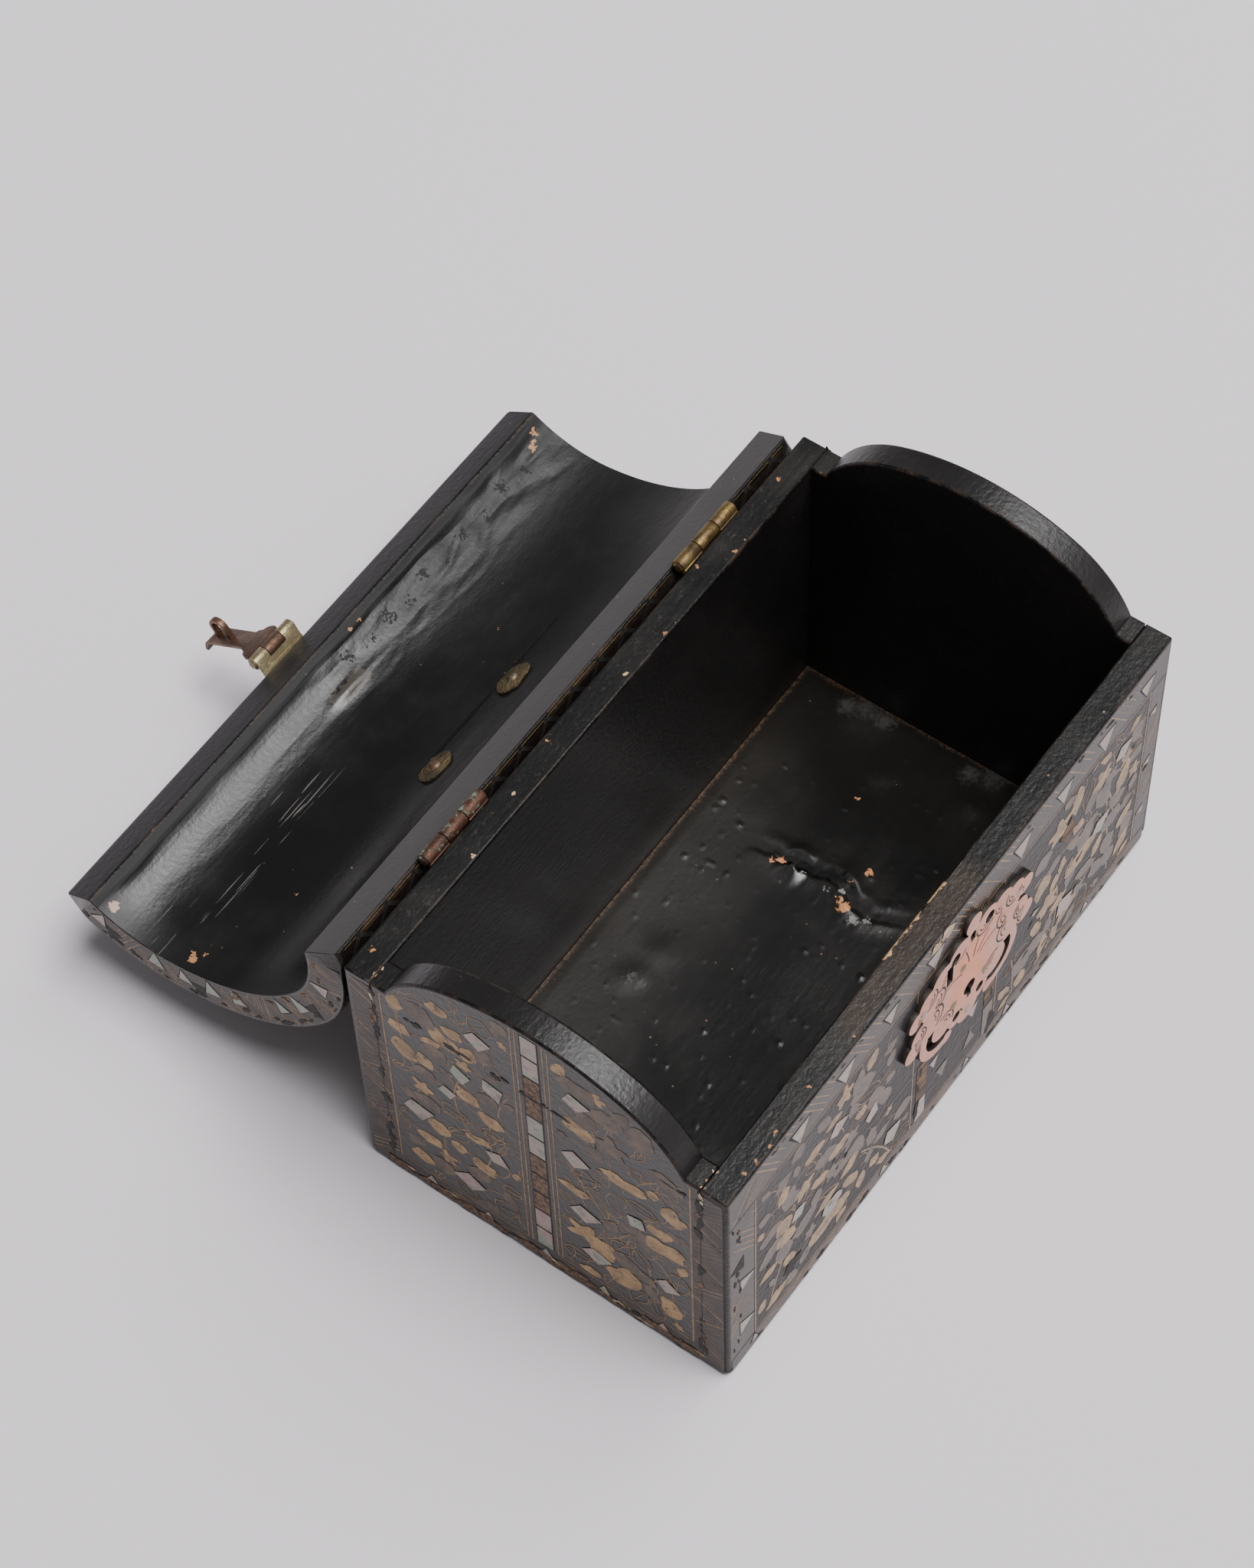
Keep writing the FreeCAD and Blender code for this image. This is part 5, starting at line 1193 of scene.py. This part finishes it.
LEFT_LEAVES = (
    (-31.9, 117.4, 7.9, 6.0, 0, "oval", GOLD), (-27.4, 108.9, 7.4, 6.4, 20, "heart", GOLD),
    (-18.9, 113.6, 8.6, 8.6, 10, "square", SHELL), (-17.1, 122.1, 9.3, 8.6, 40, "oval", OUTLINE),
    (-38.1, 107.4, 10.0, 10.7, 0, "oval", FADED), (-35.7, 95.4, 8.6, 3.7, 25, "pointed", GOLD),
    (-47.1, 92.9, 8.3, 6.9, 0, "heart", GOLD), (-24.3, 93.6, 6.9, 6.4, 0, "lobed", GOLD),
    (-26.7, 86.3, 7.9, 7.9, 15, "square", SHELL), (-15.3, 89.0, 8.3, 8.6, 30, "square", SHELL),
    (-38.6, 81.4, 7.4, 6.9, 0, "oval", GOLD), (-35.0, 90.3, 10.0, 7.4, 10, "oval", FADED),
    (-24.7, 76.0, 7.4, 9.3, 70, "heart", GOLD), (-31.7, 71.1, 6.0, 6.0, 20, "square", SHELL),
    (-16.3, 69.6, 9.4, 7.9, 0, "heart", GOLD), (-40.7, 64.3, 7.9, 8.3, 0, "lobed", GOLD),
    (-39.3, 74.0, 7.9, 6.4, 0, "oval", FADED), (-16.9, 81.1, 8.6, 6.4, 20, "oval", FADED),
    (-29.6, 61.0, 9.4, 6.9, -10, "oval", OUTLINE), (-16.0, 61.4, 10.0, 6.9, 10, "pointed", OUTLINE),
    (-39.6, 56.7, 10.7, 6.9, 0, "oval", FADED), (-22.1, 52.9, 9.4, 4.9, 20, "heart", GOLD),
    (-44.6, 47.9, 9.4, 8.6, 20, "square", SHELL), (-15.7, 47.9, 6.6, 8.6, 70, "square", SHELL),
    (-36.4, 44.6, 7.9, 7.9, 0, "oval", GOLD), (-29.3, 47.9, 10.0, 7.4, 40, "pointed", OUTLINE),
    (-29.6, 40.1, 5.4, 5.7, 0, "oval", GOLD), (-20.3, 37.4, 8.6, 8.3, 0, "heart", GOLD),
    (-40.7, 33.6, 9.3, 6.0, 5, "oval", GOLD), (-22.9, 30.7, 10.0, 6.9, 20, "oval", FADED),
    (-10.7, 32.6, 9.3, 9.4, 0, "oval", OUTLINE), (-26.7, 22.1, 10.9, 8.6, 5, "square", SHELL),
    (-44.3, 18.9, 7.1, 8.3, 60, "oval", GOLD), (-36.4, 20.7, 8.6, 8.3, 0, "oval", FADED),
    (-13.3, 18.6, 9.4, 9.4, 20, "oval", OUTLINE), (-27.9, 14.6, 9.4, 6.6, -20, "pointed", OUTLINE),
    (15.1, 121.9, 14.3, 8.9, 0, "heart", FADED), (30.0, 120.0, 8.6, 6.3, 60, "pointed", FADED),
    (14.0, 112.6, 8.9, 8.3, 15, "square", SHELL), (36.4, 106.4, 8.6, 3.7, 70, "oval", OUTLINE),
    (26.4, 99.3, 13.6, 12.1, 20, "lobed", FADED), (36.4, 114.3, 13.6, 10.0, 70, "oval", FADED),
    (44.3, 99.3, 11.4, 8.3, -20, "oval", FADED), (9.3, 90.0, 8.6, 7.1, 0, "lobed", FADED),
    (30.3, 83.6, 15.7, 7.1, 0, "heart", GOLD), (40.3, 87.1, 5.4, 4.0, 80, "oval", GOLD),
    (47.1, 81.0, 11.4, 10.6, -40, "heart", GOLD), (12.9, 79.3, 8.6, 8.6, 0, "square", SHELL),
    (22.6, 80.0, 6.4, 4.9, 50, "pointed", FADED), (17.4, 70.7, 12.3, 10.0, 30, "lobed", OUTLINE),
    (36.4, 74.0, 11.4, 6.3, -5, "pointed", OUTLINE), (12.9, 60.4, 14.3, 7.7, 0, "heart", GOLD),
    (34.0, 63.9, 8.3, 7.1, 60, "square", SHELL), (43.6, 58.6, 14.3, 9.3, 10, "heart", GOLD),
    (15.0, 48.6, 10.0, 8.6, 10, "square", SHELL), (25.0, 51.4, 8.6, 5.4, 70, "pointed", FADED),
    (31.0, 49.3, 11.4, 5.4, 75, "pointed", OUTLINE), (37.1, 48.6, 4.0, 3.7, 0, "oval", GOLD),
    (27.9, 41.4, 10.0, 7.4, 60, "pointed", OUTLINE), (35.4, 41.7, 10.0, 7.1, 120, "pointed", OUTLINE),
    (47.9, 41.1, 10.6, 8.3, 80, "oval", OUTLINE), (15.7, 36.4, 15.1, 11.4, 5, "lobed", GOLD),
    (43.6, 35.3, 8.0, 7.1, 0, "square", SHELL), (37.1, 31.9, 8.0, 5.4, -35, "pointed", FADED),
    (18.6, 26.1, 9.4, 8.9, 10, "square", SHELL), (28.6, 23.6, 13.6, 11.7, 45, "heart", GOLD),
    (12.1, 20.0, 10.7, 7.4, 0, "oval", OUTLINE), (16.4, 13.6, 12.1, 5.4, 5, "pointed", GOLD),
    (33.6, 16.9, 11.4, 7.1, 60, "pointed", OUTLINE), (40.7, 16.4, 11.4, 7.1, 110, "pointed", OUTLINE),
)
end_filling = strewn(random.Random(23), (-50, 13), (50, 128), end_panel, 60, 6.8, LEFT_LEAVES,
                     (GOLD, FADED, FADED, OUTLINE))
end_ornament(random.Random(21), "left_end_ornament", on_left, end_filling + list(LEFT_LEAVES))
end_ornament(random.Random(22), "right_end_ornament", on_right,
             strewn(random.Random(24), (-50, 14), (50, 128), end_panel, 84, 8.6))

BACK_IN, BACK_OUT = 0.0180, 0.0995


def back_panel(place):
    u, z = place
    return PANEL_LOW + MARGIN < z < PANEL_HIGH - MARGIN and BACK_IN + MARGIN < abs(u) < BACK_OUT - MARGIN


rng = random.Random(31)
bm = bmesh.new()
laid_leaves(bm, rng, strewn(rng, (-95, 14), (95, 87), back_panel, 110, 8.8), back_panel)
for side in (-1, 1):
    loose_stems(bm, rng, 8, side, ((0.024, 0.094), (0.012, 0.060), (0.6, 2.5), (0.020, 0.045), (-1.4, 1.4)), back_panel)
    for u in (BACK_IN, BACK_OUT):
        ruled(bm, (side * u, PANEL_LOW), (side * u, PANEL_HIGH), 0.0006)
for z in (PANEL_LOW, PANEL_HIGH):
    ruled(bm, (-BACK_OUT, z), (BACK_OUT, z), 0.0005)
for tile in range(7):
    low = 0.0105 + 0.0112 * tile
    ruled(bm, (0, low), (0, low + 0.0104), 0.0060, LOST if tile in (2, 3) else SHELL, TILE_LEVEL, 3)
hatched_border(bm, rng, (-0.1110, 0.0918), (1, 0), 0.222, 0.0135, 0.0222, (1, 3, 5, 7, 9))
hatched_border(bm, rng, (0.1110, 0.0080), (-1, 0), 0.222, 0.0066, 0.0212, (1, 3, 5, 7, 9))
hatched_border(bm, rng, (-0.1002, 0.0090), (0, 1), 0.0815, 0.0108, 0.0204, (0, 2))
hatched_border(bm, rng, (0.1002, 0.0905), (0, -1), 0.0815, 0.0108, 0.0204, (0, 2))
losses(bm, rng, (((-0.1060, 0.0030), (0.1060, 0.0030), 30, 0.0040, LOST, 0.0014, LOWEST_FLAKE),
                 ((-0.1000, 0.1045), (0.1000, 0.1045), 20, 0.0026, HOLE, 0.0008)))
laid_on(bm, on_back)
new_piece("back_ornament", bm, ornament_finishes, "coffer")

CROWN_RUN = (CROWN_RADIUS + LID_OUT) * JOIN
VAULT_RUN = CROWN_RUN + (outer_spring - JOIN) * (HAUNCH_RADIUS + LID_OUT)
LID_PANEL_IN, LID_PANEL_OUT = 0.0150, 0.0985
LID_PANEL_RUN = VAULT_RUN - 0.013


def on_vault(distance):
    """Surface of the shut lid: u along the length, v round the vault from the ridge to the back."""
    crown = CROWN_RADIUS + distance
    haunch = HAUNCH_RADIUS + distance

    def place(u, v, w):
        way = abs(v)
        if way > VAULT_RUN:
            return eased_corner(u, DEPTH / 2), math.copysign(DEPTH / 2 + w, v), outer_z - (way - VAULT_RUN)
        if way <= CROWN_RUN:
            angle = way / CROWN_RUN * JOIN
            y, z, radius = 0.0, CROWN_Z, crown
        else:
            angle = JOIN + (way - CROWN_RUN) / (HAUNCH_RADIUS + LID_OUT)
            y, z, radius = HAUNCH_Y, HAUNCH_Z, haunch
        y = y + (radius + w) * math.sin(angle)
        return eased_corner(u, y), math.copysign(y, v), z + (radius + w) * math.cos(angle)

    return place


def on_lid_end(side):
    """End face of the shut lid: u round the vault, v outwards from its inner edge."""
    def place(u, v, w):
        x, y, z = on_vault(LID_IN)(0, side * u, v)
        return eased_corner(side * LID_HALF, y) + side * w, y, z

    return place


def lid_panel(place):
    """Whether a point lies on the lid's leafy panels, clear of the handle."""
    u, v = place
    clear_of_handle = abs(u - 0.003) > 0.034 or abs(v) > 0.014
    on_panel = LID_PANEL_IN + MARGIN < abs(u) < LID_PANEL_OUT - MARGIN and abs(v) < LID_PANEL_RUN - 0.0015
    return on_panel and clear_of_handle


def zigzag(bm, start, length, width, base):
    """Gold-brown band crossed by a black zigzag; its gold is painted bright, as painted light for the shaded gap."""
    count = int(length / base)
    half = length / count / 2
    middle = start[1] + width / 2
    ruled(bm, (start[0], middle), (start[0] + length, middle), width, ZIGZAG, BAND_LEVEL, 8 * count)
    for number in range(2 * count):
        low, high = (0, width) if number % 2 == 0 else (width, 0)
        left = Vector((start[0] + number * half, start[1]))
        ruled(bm, left + Vector((0, low)), left + Vector((half, high)), 0.0014, HOLE, 0.00006, 12)


rng = random.Random(41)
bm = bmesh.new()
laid_leaves(bm, rng, strewn(rng, (-95, -64), (95, 64), lid_panel, 190, 8.8), lid_panel)
for side in (-1, 1):
    loose_stems(bm, rng, 14, side, ((0.024, 0.090), (-0.055, 0.055), (0.0, 6.0), (0.020, 0.045), (-1.4, 1.4)),
                lid_panel)
    for u in (LID_PANEL_IN, LID_PANEL_OUT):
        ruled(bm, (side * u, -LID_PANEL_RUN), (side * u, LID_PANEL_RUN), 0.0006, parts=60)
    hatched_border(bm, rng, (side * 0.1108, -side * 0.062), (0, side), 0.124, 0.0112, 0.0200, (1, 3, 5))
    for v in (-LID_PANEL_RUN, LID_PANEL_RUN):
        ruled(bm, (-side * LID_PANEL_OUT, v), (0.0, v), 0.0006, parts=8)
for tile in range(9):
    low = -0.0560 + 0.0126 * tile
    if abs(low + 0.006) > 0.014:
        ruled(bm, (0, low), (0, low + 0.0116), 0.0060, LOST if tile in (2, 6) else SHELL, TILE_LEVEL, 8)
hatched_border(bm, rng, (-0.110, -VAULT_RUN + 0.0010), (1, 0), 0.220, 0.0110, 0.0200, (1, 3, 6, 8))
zigzag(bm, (-0.1075, VAULT_RUN - 0.0056), 0.215, 0.0070, 0.0120)
large = [face for face in bm.faces if len(face.verts) > 4 or face.calc_area() > 2e-5]
bmesh.ops.poke(bm, faces=large)
laid_on(bm, on_vault(LID_OUT))
lid_open(bm)
new_piece("lid_ornament", bm, ornament_finishes, "lid")

for side, name in ((-1, "left_lid_end_ornament"), (1, "right_lid_end_ornament")):
    rng = random.Random(50 + side)
    bm = bmesh.new()
    run = VAULT_RUN - 0.005
    hatched_border(bm, rng, (-run, 0.0011), (1, 0), 2 * run, 0.0110, 0.0120, (1, 3, 4, 6, 7, 8, 9, 11), (5, 15, 21))
    losses(bm, rng, (((-run, 0.0105), (run, 0.0105), 22, 0.0030, HOLE, 0.0012),
                     ((-run, 0.0030), (run, 0.0030), 10, 0.0030, LOST, 0.0012)))
    laid_on(bm, on_lid_end(side))
    lid_open(bm)
    new_piece(name, bm, ornament_finishes, "lid")


# Metalwork. Sheet copper and brass cut with a chisel, filed along the edges and nailed on; the
# barrels are rolled sheet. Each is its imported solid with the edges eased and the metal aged.
def patina_group():
    """Aged copper or brass: rubbed metal, brown tarnish in clouds, green crust in spots."""
    group, given, result = new_group("patina", ("Metal", "Tarnish", "Crust"),
                                     ("Tarnish Amount", "Crust Amount", "Roughness"),
                                     ("Color", "Roughness", "Metallic", "Height"))
    place = object_place(group)
    clouds = cloud(group, place, 0.007, 5.0, 0.62)
    fine = cloud(group, place, 0.0009, 4.0, 0.6)
    spots = cloud(group, place, 0.0032, 5.0, 0.7)
    tarnish = times(group, threshold(group, clouds, 0.36, 0.62), given["Tarnish Amount"])
    crust = times(group, threshold(group, spots, 0.54, 0.66), given["Crust Amount"])
    colour = blended(group, tarnish, given["Metal"], given["Tarnish"])
    shine = added(group, added(group, given["Roughness"], fine, 0.18), crust, 0.3)
    bright = arithmetic(group, "SUBTRACT", 0.85, times(group, tarnish, 0.35))
    bright = arithmetic(group, "SUBTRACT", bright, times(group, crust, 0.6))
    relief = added(group, arithmetic(group, "ADD", times(group, clouds, 1.6), fine), crust, 0.8)
    dressed(group, result, Color=blended(group, crust, colour, given["Crust"]), Roughness=shine, Metallic=bright,
            Height=relief)
    return group


patina = patina_group()


def aged_metal(name, metal, tarnish, crust, tarnish_amount, crust_amount, roughness, relief=0.0002):
    finish, tree, shader = new_finish(name)
    skin = add_node(tree, "Group", {"Metal": metal, "Tarnish": tarnish, "Crust": crust,
                                    "Tarnish Amount": tarnish_amount, "Crust Amount": crust_amount,
                                    "Roughness": roughness}, node_tree=patina).outputs
    dressed(tree, shader, Base_Color=skin["Color"], Roughness=skin["Roughness"], Metallic=skin["Metallic"])
    add_bump(tree, shader, skin["Height"], relief)
    return finish


VERDIGRIS = (0.16, 0.36, 0.27)
metals = {name: aged_metal(name, *look) for name, *look in (
    ("hinge_copper", (0.125, 0.060, 0.040), (0.045, 0.024, 0.017), (0.17, 0.26, 0.185), 0.7, 1.0, 0.44),
    ("hinge_brass", (0.26, 0.170, 0.060), (0.050, 0.030, 0.014), VERDIGRIS, 0.95, 0.1, 0.36),
    ("copper_nails", (0.52, 0.40, 0.33), (0.22, 0.14, 0.10), VERDIGRIS, 0.6, 0.2, 0.32),
    ("lock_copper", (0.66, 0.365, 0.285), (0.62, 0.290, 0.180), (0.26, 0.18, 0.15), 0.6, 0.2, 0.38, 0.00006),
    ("lock_iron", (0.06, 0.055, 0.05), (0.03, 0.022, 0.018), (0.12, 0.05, 0.02), 0.7, 0.3, 0.5),
    ("hasp_brass", (0.38, 0.31, 0.18), (0.15, 0.120, 0.065), (0.20, 0.28, 0.16), 0.6, 0.3, 0.28),
    ("hasp_copper", (0.18, 0.105, 0.068), (0.058, 0.034, 0.023), (0.24, 0.095, 0.035), 0.8, 0.5, 0.36),
    ("handle_copper", (0.24, 0.155, 0.100), (0.080, 0.048, 0.032), VERDIGRIS, 0.9, 0.25, 0.46),
    ("clench_brass", (0.20, 0.150, 0.080), (0.060, 0.044, 0.028), (0.085, 0.090, 0.055), 0.9, 0.5, 0.46, 0.0010),
)}


def hammered_outline(bm):
    """Draws a round plate out to two blunt points along the length, with an uneven edge."""
    middle = sum((vert.co for vert in bm.verts), Vector()) / len(bm.verts)
    facing = max(bm.faces, key=lambda face: face.calc_area()).normal
    across = facing.cross(Vector((1, 0, 0))).normalized()
    for vert in bm.verts:
        away = vert.co - middle
        turn = math.atan2(away.dot(across), away.x)
        if away.length > 0.0022:
            uneven = 0.14 * waves(1.6 * math.cos(turn), 1.6 * math.sin(turn), middle.x * 90)
            pull = min(1.0 - 0.12 * abs(math.sin(2 * turn)) + uneven, 1.0)
            vert.co.x = middle.x + away.x * pull
            vert.co += across * away.dot(across) * (pull - 1.0)


FILED = 0.00018


def metal_piece(node, body, slot_name):
    """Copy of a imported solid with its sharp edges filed."""
    bm = bmesh.new()
    bm.from_mesh(frame["nodes"][node].data)
    bmesh.ops.remove_doubles(bm, verts=bm.verts, dist=1e-6)
    bmesh.ops.dissolve_limit(bm, angle_limit=math.radians(1), verts=bm.verts, edges=bm.edges)
    sharp = [edge for edge in bm.edges if len(edge.link_faces) == 2 and edge.calc_face_angle() > math.radians(48)]
    rounded(bm, sharp, FILED, 2)
    bm.normal_update()
    if slot_name == "clench_brass":
        hammered_outline(bm)
    # The lock plate's side faces take the dark iron finish, as painted shade for the shadowed gap under the plate's
    # edge.
    for face in bm.faces:
        face.material_index = 1 if node == "lock_plate" and face.normal.y > -0.9 else 0
    made = new_piece(node + "_aged", bm, [metals[slot_name], metals["lock_iron"]], body, 38.0)
    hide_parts(node)


slot_of = {part["node"]: part["material_slot"] for part in frame["record"]["subparts"]}
body_of = {node: body for body, nodes in frame["record"]["behaviour"]["bodies"].items() for node in nodes}
for node, slot_name in slot_of.items():
    if slot_name in metals:
        metal_piece(node, body_of[node], slot_name)


# Engraving of the lock plate. Fine lines cut with a graver into the plate's rubbed face: three arcs
# inside one another in each leaf, and six veins that fan out upwards from the middle of the plate.
plate_low, plate_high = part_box("lock_plate")
PLATE_MIDDLE = Vector(((plate_low.x + plate_high.x) / 2, plate_high.z - 0.0295))
ENGRAVED_LEAVES = ((7.0, 17.8, 5.8), (15.2, 15.6, 5.6), (22.2, 12.4, 5.0), (28.2, 9.2, 4.0), (19.0, 6.6, 6.4),
                   (20.0, -1.8, 6.8), (26.6, -1.6, 4.2), (29.0, -6.6, 4.0), (13.0, -13.0, 5.6), (6.0, -19.6, 3.4))
rubbed_face = [((PLATE_MIDDLE.x, plate_low.y, PLATE_MIDDLE.y + lift), 0.016) for lift in (-0.004, 0.006)]
laid_over(metals["lock_copper"], (0.82, 0.30, 0.15),
          lambda tree: times(tree, spotted(tree, rubbed_face, 0.006, 0.1, 0.006), 0.9))
engraved_line, tree, shader = new_finish("engraved_line", Roughness=0.6, Metallic=0.3)
shade = cloud(tree, object_place(tree), 0.003)
dressed(tree, shader, Base_Color=blended(tree, shade, (0.012, 0.007, 0.005), (0.06, 0.033, 0.025)))
bm = bmesh.new()
bm.from_mesh(frame["nodes"]["lock_plate"].data)
plate_surface = BVHTree.FromBMesh(bm)
bm.free()


def on_metal(place):
    """Whether there is plate, and no slot or cut-out, under a point of the drawing."""
    above = Vector((PLATE_MIDDLE.x + place[0], plate_low.y - 0.001, PLATE_MIDDLE.y + place[1]))
    return plate_surface.ray_cast(above, Vector((0, 1, 0)), 0.0015)[0] is not None


def on_plate_face(u, v, w):
    return PLATE_MIDDLE.x + u, plate_low.y - 0.00003 - w, PLATE_MIDDLE.y + v


bm = bmesh.new()
for u, v, radius in ENGRAVED_LEAVES:
    for side in (-1, 1):
        middle = Vector((side * u, v)) / 1000
        inward = math.atan2(-v, -side * u)
        for share, span, width in ((0.88, 2.5, 0.00066), (0.58, 2.0, 0.00050), (0.30, 1.6, 0.00046)):
            reach = radius * share / 1000
            first = inward - span / 2
            stem(bm, middle + pointing(first) * reach, first + math.pi / 2, reach * span, span, width, on_metal, 0, 0.0)
for vein in range(6):
    fan = vein - 2.5
    heading = math.pi / 2 + fan * 0.36
    stem(bm, pointing(heading) * 0.006, heading, 0.0085, fan * 0.35, 0.00050, on_metal, 0, 0.0)
laid_on(bm, on_plate_face)
new_piece("lock_plate_engraving", bm, [engraved_line], "coffer")
